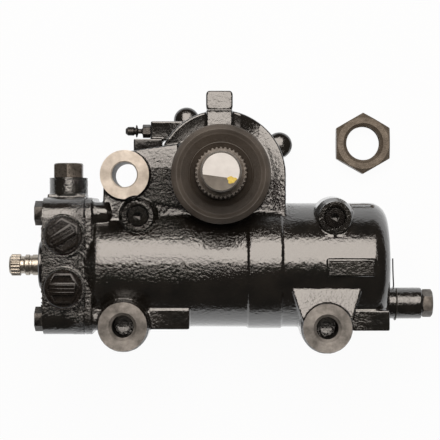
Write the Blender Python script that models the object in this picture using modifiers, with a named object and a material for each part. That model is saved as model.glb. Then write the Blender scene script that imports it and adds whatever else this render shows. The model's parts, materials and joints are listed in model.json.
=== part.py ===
"""Hydraulic recirculating-ball steering gearbox, in metres.

The gearbox lies on its back, with the origin on the floor under its middle. The output (sector) shaft stands up
along +Z, the piston and the worm run along X, with the input shaft at -X, and +Y points away from the piston.
The shapes are drawn round the output shaft's axis and moved to the origin at the end.
"""

import math

import bmesh
import bpy
from mathutils import Vector

# Fits
SEAT = 0.0003  # gap between pieces that are fixed to each other
RUN = 0.0004  # gap between pieces that turn or slide in each other

# Main axes and planes
SHAFT_PLACE = (0.0001, 0.0475, 0)  # output shaft axis, measured from the origin
SHAFT_DISTANCE = 0.093  # output shaft axis to piston axis
PISTON_Y = -SHAFT_DISTANCE
PISTON_Z = 0.0865
FACE_Z = 0.1585  # machined mounting faces

# Rack and sector
MODULE = 0.006
FULL_CIRCLE_TEETH = 18
SECTOR_TEETH = 5
PITCH_R = MODULE * FULL_CIRCLE_TEETH / 2
PRESSURE_ANGLE = math.radians(20)
ADDENDUM = 0.0052
DEDENDUM = 0.0066
BACKLASH = 0.0004
SECTOR_WIDTH = 0.044
SECTOR_HALF_ANGLE = math.radians(50)

# Piston and its bore
PISTON_R = 0.0496
BORE_R = PISTON_R + 0.0006
HOUSING_WALL = 0.0148
CYLINDER_R = BORE_R + HOUSING_WALL
HOUSING_LEFT = -0.139
BORE_END = 0.165
END_WALL = 0.0075
HOUSING_RIGHT = BORE_END + END_WALL
PISTON_LEFT = -0.066
PISTON_RIGHT = 0.120
RING_GROOVE_X = 0.106
RING_WIDTH = 0.005
RING_DEPTH = 0.004
PISTON_BEVEL = 0.0015
BAND = (0.028, 0.062)  # a slightly raised stretch of the cylinder, and how far it stands out
BAND_RISE = 0.0012
END_ROUND = 0.018  # the round edge at the closed end
CAST_TAPER = 0.010  # how much narrower the cylinder is behind its flange

# Worm and balls
TURNS_RATIO = 20
LEAD = 2 * math.pi * PITCH_R / TURNS_RATIO
WORM_R = 0.018
BALL_CIRCLE_R = 0.020
BALL_R = 0.00318
GROOVE_R = 0.0055
THREAD_LEFT = -0.087
THREAD_RIGHT = 0.031
BALL_GAP = 0.0004
BALL_ZONE_X = -0.028
BALL_TURNS = 1.5
NUT_BORE_R = WORM_R + 0.0007
NUT_BORE_END = 0.086
GUIDE_OVERHANG = 0.018  # ball return guide, past the ball zone's length
GUIDE_WIDTH = 0.018
GUIDE_CORNER = 0.005
GUIDE_DEPTH = 0.014
GUIDE_SINK = 0.003
GUIDE_GROOVE_R = 0.002

# Valve housing and its cover
VALVE_HALF_Y = 0.0700
VALVE_HALF_Z = 0.0560
VALVE_CORNER_R = 0.020
VALVE_LENGTH = 0.033
FLANGE_THICKNESS = 0.008
COVER_THICKNESS = 0.0075
COVER_MARGIN = 0.003
HUB_R = 0.026
HUB_LENGTH = 0.0090
HUB_BORE_R = 0.0163
HUB_MOUTH_R = 0.0130
HUB_LIP = 0.0025
VALVE_RIGHT = HOUSING_LEFT - SEAT
VALVE_LEFT = VALVE_RIGHT - VALVE_LENGTH
COVER_RIGHT = VALVE_LEFT - SEAT
COVER_LEFT = COVER_RIGHT - COVER_THICKNESS
HUB_LEFT = COVER_LEFT - HUB_LENGTH
VALVE_BOLT_Y = 0.054
VALVE_BOLT_Z = 0.040
VALVE_BOLT_END = -0.119
COLUMN_R = 0.0125  # cast columns round the bolts
COLUMN_TIP_R = 0.011

# Ports and the plug boss on the valve housing
PORT_X = -0.1590
PORT_OFFSETS = (0.0315, -0.0220)
PORT_BOSS_R = 0.0220
PORT_FACE_Z = 0.1515
PORT_HOLE_R = 0.0105
PORT_DEPTH = 0.026
PORT_STEM_R = 0.0125
SPOT_FACE_DEPTH = 0.0008
RELIEF_X = -0.1595
RELIEF_BOSS_R = 0.0200
RELIEF_BOSS_TOP = -0.0020
RELIEF_HEX_AF = 0.0290
RELIEF_HEX_HEIGHT = 0.0150
RELIEF_HOLE_R = 0.0080
RELIEF_DEPTH = 0.032
UPSTAND_WIDTH = 0.034

# Shipping plugs of the ports, with heights from the underside of the flange
PORT_PLUG_R = 0.0195
SPOT_FACE_R = PORT_PLUG_R + SEAT
PORT_PLUG_TURNS = (math.radians(32), 0.0)
PLUG_FLANGE_TOP = 0.0025
PLUG_STEM_LENGTH = 0.014
PLUG_HEX_AF = 0.0310
PLUG_HEX_TOP = 0.0058
PLUG_WELL_AF = 0.0265
PLUG_WELL_FLOOR = 0.0030
PLUG_BAR = (0.0262, 0.0125)
PLUG_BAR_TOP = 0.0072
PLUG_RIB = (0.0245, 0.0012)
PLUG_RIB_PITCH = 0.0036
PLUG_RIB_TOP = 0.0080

# Input shaft, rotor, sleeve and torsion bar
INPUT_END = -0.2210
INPUT_R = 0.0109
INPUT_SEAL_WIDTH = 0.0060
TIP_R = 0.0113
TIP_TEETH = 18
ROTOR_R = 0.0150
ROTOR_LEFT = -0.1700
ROTOR_RIGHT = -0.1290
ROTOR_SLOTS = 6
SLEEVE_R = 0.0215
SLEEVE_LEFT = -0.1660
WORM_HEAD_X = -0.1280
TORSION_R = 0.0042
TORSION_RIGHT = -0.106
PIN_R = 0.0018
PIN_LENGTH = 0.030
TORSION_TUBE_R = TORSION_R + RUN
RETAINER_RIGHT = -0.112
BEARING_WIDTH = 0.0140
RETAINER_WALL = 0.0162
WORM_BEARING_R = BORE_R - RETAINER_WALL
JOURNAL_R = 0.0157
WORM_FLANGE_R = 0.0200

# Output shaft
JOURNAL_TOP = 0.1665
SHAFT_R = 0.0257
LOWER_JOURNAL_R = 0.0190
SPLINE_R = 0.0253
SPLINE_ROOT_R = 0.0236
SPLINE_TEETH = 36
SPLINE_LENGTH = 0.037
THREAD_R = 0.0195
SHAFT_TOP = 0.2425
NECK_R = 0.0480
NECK_BEARING_R = 0.0320
NECK_BEARING_HEIGHT = 0.026
NECK_BEARING_Z = 0.1215
SEAL_HEIGHT = 0.008
CAP_R = 0.0500
CAP_HEIGHT = 0.0085

# Sector chamber and side cover
JOINT_Z = 0.020  # plane between the housing and the side cover
CAVITY_R = PITCH_R + ADDENDUM + 0.0012
CHAMBER_WALL = 0.0061
CHAMBER_R = CAVITY_R + CHAMBER_WALL
CHAMBER_FLANGE_R = CHAMBER_R + 0.0035
CHAMBER_FLANGE_TOP = 0.036
CHAMBER_TOP = 0.1265
CAVITY_TOP = 0.1175
LOBE_CIRCLE_R = CHAMBER_FLANGE_R + 0.0020
LOBE_R = 0.0140
LOBE_ANGLES = (29, 121, 211, 301)
SIDE_COVER_THICKNESS = 0.012
SIDE_COVER_RIBS = 4
SIDE_RIB_WIDTH = 0.007
SIDE_RIB_HEIGHT = 0.006
SIDE_HUB_R = 0.0320
SIDE_HUB_INNER = 0.018
HUB_RECESS_R = 0.0180
HUB_RECESS_DEPTH = 0.008
COVER_SPIGOT_HEIGHT = 0.016
LOWER_BUSH_WALL = 0.0035
ADJUSTER_R = 0.0067
ADJUSTER_HEAD_R = 0.0120
ADJUSTER_HEAD_HEIGHT = 0.0045
RETAINER_HEIGHT = 0.0035
ADJUSTER_POCKET_DEPTH = RETAINER_HEIGHT + ADJUSTER_HEAD_HEIGHT + 0.0015
ADJUSTER_SOCKET_AF = 0.0050
LOCK_NUT_AF = 0.0240
LOCK_NUT_HEIGHT = 0.0070

# Mounting bosses
BOSS_R = 0.0246
BOSS_HOLE_R = 0.0112
BOSS_BACK_Z = 0.0985
BLIND_DEPTH = 0.045
THROUGH_BOSS = (-0.0967, -0.0005)
THROUGH_HOLE_R = 0.0125
LOWER_BOSSES = ((-0.0986, -0.1529), (0.1068, -0.1545))
CAST_SKIRT = 0.0018  # how far the casting stands out round a lower boss
HOLE_CHAMFER = 0.003

# Webs of the casting, as heights
WEB_Z = (0.1065, 0.1385)
RIB_Z = (0.1025, 0.1305)
STAY_Z = (0.0585, 0.0885)
STAY_SIZE = (0.030, 0.016)
STAY_Y = 0.031
RAMP_Z = (0.1245, 0.1470)
RAMP_SLOPE = 0.21
RAMP_EDGE = 0.003

# Small bosses with recessed plugs
PLUG_BOSSES = ((-0.0843, -0.0420, 0.0157, 0.1475), (0.1155, -0.0435, 0.0163, 0.1445))
BORE_PLUG_R = 0.0105
BORE_PLUG_SINK = 0.004
BORE_PLUG_HEIGHT = 0.010
BORE_PLUG_SOCKET_AF = 0.0080

# Limiter at the right end
LIMITER_Y = -0.1330
LIMITER_BOSS_R = 0.0163
LIMITER_BOSS_END = 0.2095
LIMITER_HEX_AF = 0.0255
LIMITER_HEX_LENGTH = 0.0110
LIMITER_STEM_R = 0.0080
WIRE_R = 0.0007
WIRE_X = 0.1810
WIRE_TAIL_TOP = -0.0860

# Bleed screw
BLEED_Y = 0.0480
BLEED_Z = 0.0700
BLEED_BLOCK_LEFT = -0.0740
BLEED_STEM_R = 0.0040
BLEED_HEX_AF = 0.0125
BLEED_HEX_LENGTH = 0.0085
BLEED_BLOCK = (0.034, 0.020, 0.024)

# Cast pads and lugs. A pad is its centre's x and y, and its width
PAD_FRONT_Z = 0.1360
PAD_BACK_Z = 0.0747
PAD_HEIGHT = 0.0205
PADS = ((-0.0531, -0.1471, 0.0420), (0.1531, -0.1484, 0.0373))
LUG_X = -0.0016
LUG_WIDTH = 0.0273
LUG_Z = 0.1183
LUG_TOP = 0.0858
LUG_SPLIT_Y = 0.0663
LUG_GROOVE = 0.0012
REST_PADS = (-0.060, 0.130)
REST_PAD_SIZE = 0.030
MARK_PAD = (0.047, 0.017)
MARK_PAD_X = 0.131

# Fasteners
COVER_BOLT_R = 0.0060
COVER_BOLT_AF = 0.0190
COVER_BOLT_HEAD = 0.0070
BOLT_TIP_RISE = 0.0037  # how far the cover bolts reach past the lowest line of the bore
COVER_BOLT_DEPTH = PISTON_Z - BORE_R - JOINT_Z + BOLT_TIP_RISE
VALVE_BOLT_R = 0.0060
VALVE_BOLT_AF = 0.0220
VALVE_BOLT_HEAD = 0.0092

# Drop arm nut, loose beside the gearbox
NUT_X = 0.1557
NUT_Y = 0.0381
NUT_AF = 0.0580
NUT_HEIGHT = 0.0200
NUT_HOLE_R = 0.0192
NUT_CHAMFER = 0.0028

# Facets round a circle. Pieces that fit in each other share a count.
ROUND = 28  # bore, piston and dust cap
CHAMBER_ROUND = 24  # sector chamber, side cover and output shaft
MEDIUM_ROUND = 20  # large bosses, ports and neck fittings
VALVE_ROUND = 18  # input shaft, sleeve and worm bearing
BOSS_ROUND = 16  # small bosses, worm and adjuster
SMALL_ROUND = 12
BOLT_ROUND = 10  # bolts and their holes
COLUMN_ROUND = 8

# Pieces made of many joined shapes use the Manifold solver
MANY_SHAPES = ("housing", "valve_housing", "port_plug_upper", "port_plug_lower", "side_cover")

parts = None
helpers = None


def clear_scene():
    for obj in list(bpy.data.objects):
        bpy.data.objects.remove(obj, do_unlink=True)


def new_collection(name):
    collection = bpy.data.collections.new(name)
    bpy.context.scene.collection.children.link(collection)
    return collection


def material(name, color, roughness, metallic):
    """A Principled material, made once for each name."""
    if name in bpy.data.materials:
        return bpy.data.materials[name]
    made = bpy.data.materials.new(name)
    made.use_nodes = True
    shader = made.node_tree.nodes["Principled BSDF"]
    shader.inputs["Base Color"].default_value = (*color, 1)
    shader.inputs["Roughness"].default_value = roughness
    shader.inputs["Metallic"].default_value = metallic
    return made


def black_paint():
    return material("black_paint", (0.012, 0.012, 0.012), 0.28, 0.0)


def machined_steel():
    return material("machined_steel", (0.52, 0.50, 0.47), 0.32, 1.0)


def dark_steel():
    return material("dark_steel", (0.10, 0.09, 0.08), 0.45, 1.0)


def rubber():
    return material("rubber", (0.03, 0.03, 0.03), 0.65, 0.0)


def black_plastic():
    return material("black_plastic", (0.015, 0.015, 0.018), 0.35, 0.0)


def bronze():
    return material("bronze", (0.45, 0.27, 0.10), 0.35, 1.0)


def helper(name, mesh):
    """An object that only cuts or joins others."""
    obj = bpy.data.objects.new(name, mesh)
    helpers.objects.link(obj)
    obj.hide_render = True
    obj.display_type = "WIRE"
    return obj


def as_part(obj, name, finish):
    """Makes a helper shape one of the visible parts."""
    helpers.objects.unlink(obj)
    parts.objects.link(obj)
    obj.name = name
    obj.hide_render = False
    obj.display_type = "TEXTURED"
    obj.data.materials.append(finish)
    return obj


def boolean(obj, other, operation):
    modifier = obj.modifiers.new(other.name, "BOOLEAN")
    modifier.operation = operation
    modifier.solver = "MANIFOLD" if obj.name in MANY_SHAPES else "EXACT"
    modifier.object = other


def join(obj, *others):
    for other in others:
        boolean(obj, other, "UNION")


def cut(obj, *others):
    for other in others:
        boolean(obj, other, "DIFFERENCE")


def along(obj, axis):
    """Turns an object built along Z so that it lies along the named axis."""
    if axis == "X":
        obj.rotation_euler = (0, math.pi / 2, 0)
    elif axis == "Y":
        obj.rotation_euler = (-math.pi / 2, 0, 0)


def turned(name, profile, axis="Z", at=(0, 0, 0), steps=ROUND):
    """A turned solid. The profile holds (place along the axis, radius) pairs."""
    points = [(radius, 0, place) for place, radius in profile]
    area = sum(a[0] * b[2] - b[0] * a[2] for a, b in zip(points, points[1:] + points[:1]))
    if area > 0:
        points.reverse()
    on_axis = points[0][0] == 0 and points[-1][0] == 0
    count = len(points)
    edges = [(i, (i + 1) % count) for i in range(count - 1 if on_axis else count)]
    mesh = bpy.data.meshes.new(name)
    mesh.from_pydata(points, edges, [])
    obj = helper(name, mesh)
    screw = obj.modifiers.new("Turn", "SCREW")
    screw.steps = steps
    screw.render_steps = steps
    screw.use_merge_vertices = True
    screw.merge_threshold = 0.00001
    screw.use_smooth_shade = True
    weld = obj.modifiers.new("Seam", "WELD")
    weld.merge_threshold = 0.00001
    along(obj, axis)
    obj.location = at
    return obj


def rod(name, radius, start, end, axis="Z", at=(0, 0), steps=SMALL_ROUND, chamfer=0.0):
    """A plain round bar from start to end, centred on the two other coordinates."""
    if chamfer:
        profile = [(start, 0), (start, radius - chamfer), (start + chamfer, radius)]
        profile += [(end - chamfer, radius), (end, radius - chamfer), (end, 0)]
    else:
        profile = [(start, 0), (start, radius), (end, radius), (end, 0)]
    place = {"X": (0, at[0], at[1]), "Y": (at[0], 0, at[1]), "Z": (at[0], at[1], 0)}[axis]
    return turned(name, profile, axis, place, steps)


def ring(name, inner, outer, start, end, axis="Z", at=(0, 0), steps=ROUND):
    profile = [(start, inner), (start, outer), (end, outer), (end, inner)]
    place = {"X": (0, at[0], at[1]), "Y": (at[0], 0, at[1]), "Z": (at[0], at[1], 0)}[axis]
    return turned(name, profile, axis, place, steps)


def prism(name, outline, low, high, axis="Z", at=(0, 0, 0), edge=0.0):
    """A flat outline made thick along the axis, with its rim rounded when edge is given."""
    mesh = bpy.data.meshes.new(name)
    build = bmesh.new()
    face = build.faces.new([build.verts.new((x, y, low)) for x, y in outline])
    grown = bmesh.ops.extrude_face_region(build, geom=[face])["geom"]
    moved = [item for item in grown if isinstance(item, bmesh.types.BMVert)]
    bmesh.ops.translate(build, verts=moved, vec=(0, 0, high - low))
    bmesh.ops.recalc_face_normals(build, faces=build.faces)
    build.to_mesh(mesh)
    build.free()
    obj = helper(name, mesh)
    along(obj, axis)
    obj.location = at
    if edge:
        bevel = obj.modifiers.new("Edge", "BEVEL")
        bevel.width = edge
        bevel.segments = 1
        bevel.limit_method = "ANGLE"
        bevel.angle_limit = math.radians(50)
    return obj


def rectangle(width, height, corner=0.0, corner_steps=3, center=(0, 0)):
    """Corner points of a rectangle, counter-clockwise, with round corners if asked."""
    x, y = width / 2, height / 2
    if not corner:
        return [(center[0] + a, center[1] + b) for a, b in ((-x, -y), (x, -y), (x, y), (-x, y))]
    points = []
    for quarter, (sx, sy) in enumerate(((-1, -1), (1, -1), (1, 1), (-1, 1))):
        for step in range(corner_steps + 1):
            angle = math.pi + math.pi / 2 * (quarter + step / corner_steps)
            points.append((
                center[0] + sx * (x - corner) + corner * math.cos(angle),
                center[1] + sy * (y - corner) + corner * math.sin(angle),
            ))
    return points


def polygon(sides, across_flats, turn=0.0):
    radius = across_flats / 2 / math.cos(math.pi / sides)
    angles = [turn + 2 * math.pi * i / sides for i in range(sides)]
    return [(radius * math.cos(a), radius * math.sin(a)) for a in angles]


def belt(first, first_r, second, second_r, steps=6):
    """The outline of a belt laid round two circles."""
    start, end = Vector(first), Vector(second)
    gap = end - start
    heading = math.atan2(gap.y, gap.x)
    lean = math.acos((first_r - second_r) / gap.length)
    points = []
    for center, radius, low, high in (
        (end, second_r, -lean, lean),
        (start, first_r, lean, 2 * math.pi - lean),
    ):
        for i in range(steps + 1):
            angle = heading + low + (high - low) * i / steps
            points.append((center.x + radius * math.cos(angle), center.y + radius * math.sin(angle)))
    return points


def tube(name, points, radius, resolution=2, swell=None):
    """A round wire or groove cutter through the points, as a closed mesh. Swell scales its radius at each point."""
    curve = bpy.data.curves.new(name, "CURVE")
    curve.dimensions = "3D"
    curve.bevel_depth = radius
    curve.bevel_resolution = resolution
    curve.use_fill_caps = True
    spline = curve.splines.new("POLY")
    spline.points.add(len(points) - 1)
    for point, place, scale in zip(spline.points, points, swell or [1] * len(points)):
        point.co = (*place, 1)
        point.radius = scale
    drawn = bpy.data.objects.new(name, curve)
    helpers.objects.link(drawn)
    graph = bpy.context.evaluated_depsgraph_get()
    mesh = bpy.data.meshes.new_from_object(drawn.evaluated_get(graph))
    weld = bmesh.new()
    weld.from_mesh(mesh)
    bmesh.ops.remove_doubles(weld, verts=weld.verts, dist=0.00001)
    bmesh.ops.recalc_face_normals(weld, faces=weld.faces)
    weld.to_mesh(mesh)
    weld.free()
    bpy.data.objects.remove(drawn)
    return helper(name, mesh)


def helix_point(x, radius, phase=0.0):
    """A point of the ball track on the worm axis. The thread is right-handed."""
    angle = 2 * math.pi * (x - BALL_ZONE_X) / LEAD + phase
    return (x, PISTON_Y + radius * math.cos(angle), PISTON_Z + radius * math.sin(angle))


def helix(low, high, radius, steps_a_turn=12):
    count = max(2, round((high - low) / LEAD * steps_a_turn))
    return [helix_point(low + (high - low) * i / count, radius) for i in range(count + 1)]


def hex_bolt(name, across_flats, head, radius, length, sharp=0.0):
    """A hexagon bolt along Z: the head sits below z = 0 and the shank runs up."""
    body = prism(name, polygon(6, across_flats), -head, 0, edge=sharp)
    join(body, rod(name + "_shank", radius, -head / 2, length, steps=BOLT_ROUND))
    return body


# Housing

def cylinder_body():
    """The cylinder with its rounded right end."""
    round_start = HOUSING_RIGHT - END_ROUND
    crown = 0.004
    profile = [(HOUSING_LEFT, 0), (HOUSING_LEFT, CYLINDER_R - CAST_TAPER), (HOUSING_LEFT + 0.012, CYLINDER_R - 0.002),
               (round_start, CYLINDER_R)]
    for step in range(1, 4):
        angle = math.pi / 2 * step / 3
        profile.append((
            round_start + (END_ROUND - crown) * math.sin(angle),
            CYLINDER_R - END_ROUND * (1 - math.cos(angle)),
        ))
    profile += [(HOUSING_RIGHT, CYLINDER_R - END_ROUND - crown), (HOUSING_RIGHT, 0)]
    return turned("cylinder_body", profile, "X", (0, PISTON_Y, PISTON_Z))


def chamber_outline(radius, steps=12):
    """Round at the top, with straight sides down to the cylinder."""
    points = [(radius * math.cos(math.pi * i / steps), radius * math.sin(math.pi * i / steps))
              for i in range(steps + 1)]
    return points + [(-radius, PISTON_Y + 0.020), (radius, PISTON_Y + 0.020)]


def valve_outline(margin=0.0):
    """The outline of the valve housing, seen along X: local x is -Z and local y is Y."""
    return rectangle(2 * (VALVE_HALF_Z - margin), 2 * (VALVE_HALF_Y - margin), VALVE_CORNER_R - margin, 2)


def on_piston_axis(obj):
    obj.location = (0, PISTON_Y, PISTON_Z)
    return obj


def add_flange(housing):
    flange = prism("housing_flange", valve_outline(), HOUSING_LEFT, HOUSING_LEFT + FLANGE_THICKNESS, "X")
    join(housing, on_piston_axis(flange))
    for y, z in valve_bolt_places():
        end = VALVE_BOLT_END + 0.004
        profile = [(HOUSING_LEFT + 0.002, 0), (HOUSING_LEFT + 0.002, COLUMN_R), (end, COLUMN_TIP_R), (end + 0.005, 0)]
        join(housing, turned("flange_column", profile, "X", (0, y, z), COLUMN_ROUND))


def valve_bolt_places():
    return [(PISTON_Y + sy * VALVE_BOLT_Y, PISTON_Z + sz * VALVE_BOLT_Z) for sy in (1, -1) for sz in (1, -1)]


def lobe_places():
    angles = [math.radians(angle) for angle in LOBE_ANGLES]
    return [(LOBE_CIRCLE_R * math.cos(a), LOBE_CIRCLE_R * math.sin(a)) for a in angles]


def add_chamber(housing):
    join(
        housing,
        prism("chamber_wall", chamber_outline(CHAMBER_R), JOINT_Z + 0.004, CHAMBER_TOP, edge=0.004),
        rod("chamber_flange", CHAMBER_FLANGE_R, JOINT_Z, CHAMBER_FLANGE_TOP, steps=CHAMBER_ROUND),
        turned("neck", [(CHAMBER_TOP - 0.012, 0), (CHAMBER_TOP - 0.012, NECK_R + 0.016),
                        (CHAMBER_TOP + 0.002, NECK_R + 0.008), (CHAMBER_TOP + 0.010, NECK_R), (FACE_Z, NECK_R),
                        (FACE_Z, 0)], steps=CHAMBER_ROUND),
    )
    for x, y in lobe_places():
        top = JOINT_Z + COVER_BOLT_DEPTH + 0.006
        profile = [(JOINT_Z + 0.0005, 0), (JOINT_Z + 0.0005, LOBE_R), (top - 0.003, LOBE_R), (top, LOBE_R - 0.003),
                   (top, 0)]
        join(housing, turned("cover_lobe", profile, "Z", (x, y, 0), SMALL_ROUND))


def add_mounting_bosses(housing):
    x, y = THROUGH_BOSS
    join(
        housing,
        rod("through_boss", BOSS_R, BOSS_BACK_Z, FACE_Z, at=(x, y), steps=MEDIUM_ROUND),
        prism("boss_web", belt((x, y), BOSS_R - 0.001, (0, 0), NECK_R - 0.010), *WEB_Z, edge=0.004),
        prism("boss_rib", belt((x, y), BOSS_R - 0.0015, (x - 0.002, PISTON_Y + 0.030), BOSS_R - 0.0026), *RIB_Z),
        prism("boss_stay", rectangle(*STAY_SIZE, center=(x + 0.020, STAY_Y)), *STAY_Z),
    )
    for x, y in LOWER_BOSSES:
        join(
            housing,
            rod("lower_boss", BOSS_R, BOSS_BACK_Z, FACE_Z, at=(x, y), steps=MEDIUM_ROUND),
            rod("lower_boss_cast", BOSS_R + CAST_SKIRT, BOSS_BACK_Z - 0.012, FACE_Z - 0.010, at=(x, y),
                steps=MEDIUM_ROUND),
        )
    join(housing, boss_ramp(*LOWER_BOSSES[1]))


def boss_ramp(x, y):
    """The web from the cylinder to the right lower boss, whose front rises towards the boss."""
    near = PISTON_Y - 0.018
    far = y + 0.006
    half = BOSS_R - 0.0006
    outline = [(x - half - 0.012, near), (x + half + 0.010, near), (x + half, far), (x - half, far)]
    ramp = prism("boss_ramp", outline, *RAMP_Z, edge=RAMP_EDGE)
    for vertex in ramp.data.vertices:
        if vertex.co.z > RAMP_Z[0]:
            vertex.co.z += RAMP_SLOPE * (near - vertex.co.y)
    return ramp


def add_small_bosses(housing):
    for x, y, radius, top in PLUG_BOSSES:
        profile = [(PISTON_Z + 0.008, 0), (PISTON_Z + 0.008, radius + 0.006), (top - 0.020, radius + 0.004),
                   (top - 0.010, radius), (top, radius - 0.0005), (top, 0)]
        join(housing, turned("plug_boss", profile, "Z", (x, y, 0), BOSS_ROUND))
    limiter = [(BORE_END - 0.015, 0), (BORE_END - 0.015, LIMITER_BOSS_R), (LIMITER_BOSS_END - 0.001, LIMITER_BOSS_R),
               (LIMITER_BOSS_END, LIMITER_BOSS_R - 0.001), (LIMITER_BOSS_END, 0)]
    join(housing, turned("limiter_boss", limiter, "X", (0, LIMITER_Y, PISTON_Z), BOSS_ROUND))


def add_pads_and_lugs(housing):
    for x, y, width in PADS:
        outline = rectangle(width, PAD_HEIGHT, center=(x, y))
        join(housing, prism("cast_pad", outline, PAD_BACK_Z, PAD_FRONT_Z))
    half = LUG_WIDTH / 2
    lower = prism("lug_lower", rectangle(LUG_WIDTH - 0.0012, 0.036, center=(LUG_X, LUG_SPLIT_Y - 0.018)),
                  LUG_Z - half + 0.0006, LUG_Z + half - 0.0006)
    middle = prism("lug_middle", rectangle(LUG_WIDTH - 0.004, 0.008, center=(LUG_X, LUG_SPLIT_Y)),
                   LUG_Z - half + 0.002, LUG_Z + half - 0.002)
    low = LUG_SPLIT_Y + LUG_GROOVE
    upper = prism("lug_upper", rectangle(LUG_WIDTH, LUG_TOP - low, 0.0035, 2, (LUG_X, (LUG_TOP + low) / 2)),
                  LUG_Z - half, LUG_Z + half)
    join(housing, lower, middle, upper)
    length, width, height = BLEED_BLOCK
    block = rectangle(length, width, center=(BLEED_BLOCK_LEFT + length / 2, BLEED_Y))
    join(housing, prism("bleed_block", block, BLEED_Z - height / 2, BLEED_Z + height / 2))
    for x in REST_PADS:
        pad = prism("rest_pad", rectangle(REST_PAD_SIZE, REST_PAD_SIZE, center=(x, PISTON_Y)), 0, PISTON_Z / 2)
        join(housing, pad)
    band = ring("band", CYLINDER_R - 0.010, CYLINDER_R + BAND_RISE, *BAND, "X", (PISTON_Y, PISTON_Z))
    mark = prism("mark_pad", rectangle(*MARK_PAD, center=(MARK_PAD_X, PISTON_Y - 0.001)),
                 PISTON_Z + CYLINDER_R - 0.017, PISTON_Z + CYLINDER_R + 0.0004)
    join(housing, band, mark)


def cut_housing(housing):
    top = NECK_BEARING_Z + NECK_BEARING_HEIGHT
    cut(
        housing,
        rod("bore", BORE_R, HOUSING_LEFT - 0.005, BORE_END, "X", (PISTON_Y, PISTON_Z), ROUND),
        rod("cavity", CAVITY_R, JOINT_Z - 0.005, CAVITY_TOP, steps=CHAMBER_ROUND),
        rod("bearing_seat", NECK_BEARING_R + SEAT, CAVITY_TOP - 0.002, top + SEAT, steps=CHAMBER_ROUND),
        rod("seal_seat", NECK_BEARING_R - 0.0015, top - 0.001, FACE_Z + 0.002, steps=CHAMBER_ROUND),
    )
    x, y = THROUGH_BOSS
    hole = [(BOSS_BACK_Z - 0.01, 0), (BOSS_BACK_Z - 0.01, THROUGH_HOLE_R), (FACE_Z - 0.001, THROUGH_HOLE_R),
            (FACE_Z + 0.002, THROUGH_HOLE_R + HOLE_CHAMFER), (FACE_Z + 0.002, 0)]
    cut(housing, turned("through_hole", hole, "Z", (x, y, 0), BOSS_ROUND))
    for x, y in LOWER_BOSSES:
        bottom = FACE_Z - BLIND_DEPTH
        hole = [(bottom - 0.004, 0), (bottom, BOSS_HOLE_R), (FACE_Z - HOLE_CHAMFER, BOSS_HOLE_R),
                (FACE_Z + 0.001, BOSS_HOLE_R + HOLE_CHAMFER + 0.001), (FACE_Z + 0.001, 0)]
        cut(housing, turned("boss_hole", hole, "Z", (x, y, 0), BOSS_ROUND))
    for x, y in lobe_places():
        cut(housing, rod("cover_bolt_hole", COVER_BOLT_R + SEAT, JOINT_Z - 0.005, JOINT_Z + COVER_BOLT_DEPTH + 0.001,
                         at=(x, y), steps=BOLT_ROUND))
    for y, z in valve_bolt_places():
        cut(housing, rod("valve_bolt_hole", VALVE_BOLT_R + SEAT, HOUSING_LEFT - 0.005, VALVE_BOLT_END + 0.001, "X",
                         (y, z), BOLT_ROUND))
    for x, y, radius, top in PLUG_BOSSES:
        cut(housing, rod("plug_hole", BORE_PLUG_R + SEAT, top - BORE_PLUG_SINK - BORE_PLUG_HEIGHT - SEAT, top + 0.002,
                         at=(x, y)))
    cut(housing, rod("limiter_hole", LIMITER_STEM_R + SEAT, BORE_END - 0.006, LIMITER_BOSS_END + 0.005, "X",
                     (LIMITER_Y, PISTON_Z)))
    cut(housing, rod("bleed_hole", BLEED_STEM_R + SEAT, BLEED_BLOCK_LEFT - 0.005, BLEED_BLOCK_LEFT + 0.012, "X",
                     (BLEED_Y, BLEED_Z), BOLT_ROUND))


def make_housing():
    housing = as_part(cylinder_body(), "housing", black_paint())
    add_flange(housing)
    add_chamber(housing)
    add_mounting_bosses(housing)
    add_small_bosses(housing)
    add_pads_and_lugs(housing)
    cut_housing(housing)


# Valve housing, its cover and what is fitted to them

def port_places():
    return [PISTON_Y + offset for offset in PORT_OFFSETS]


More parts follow.
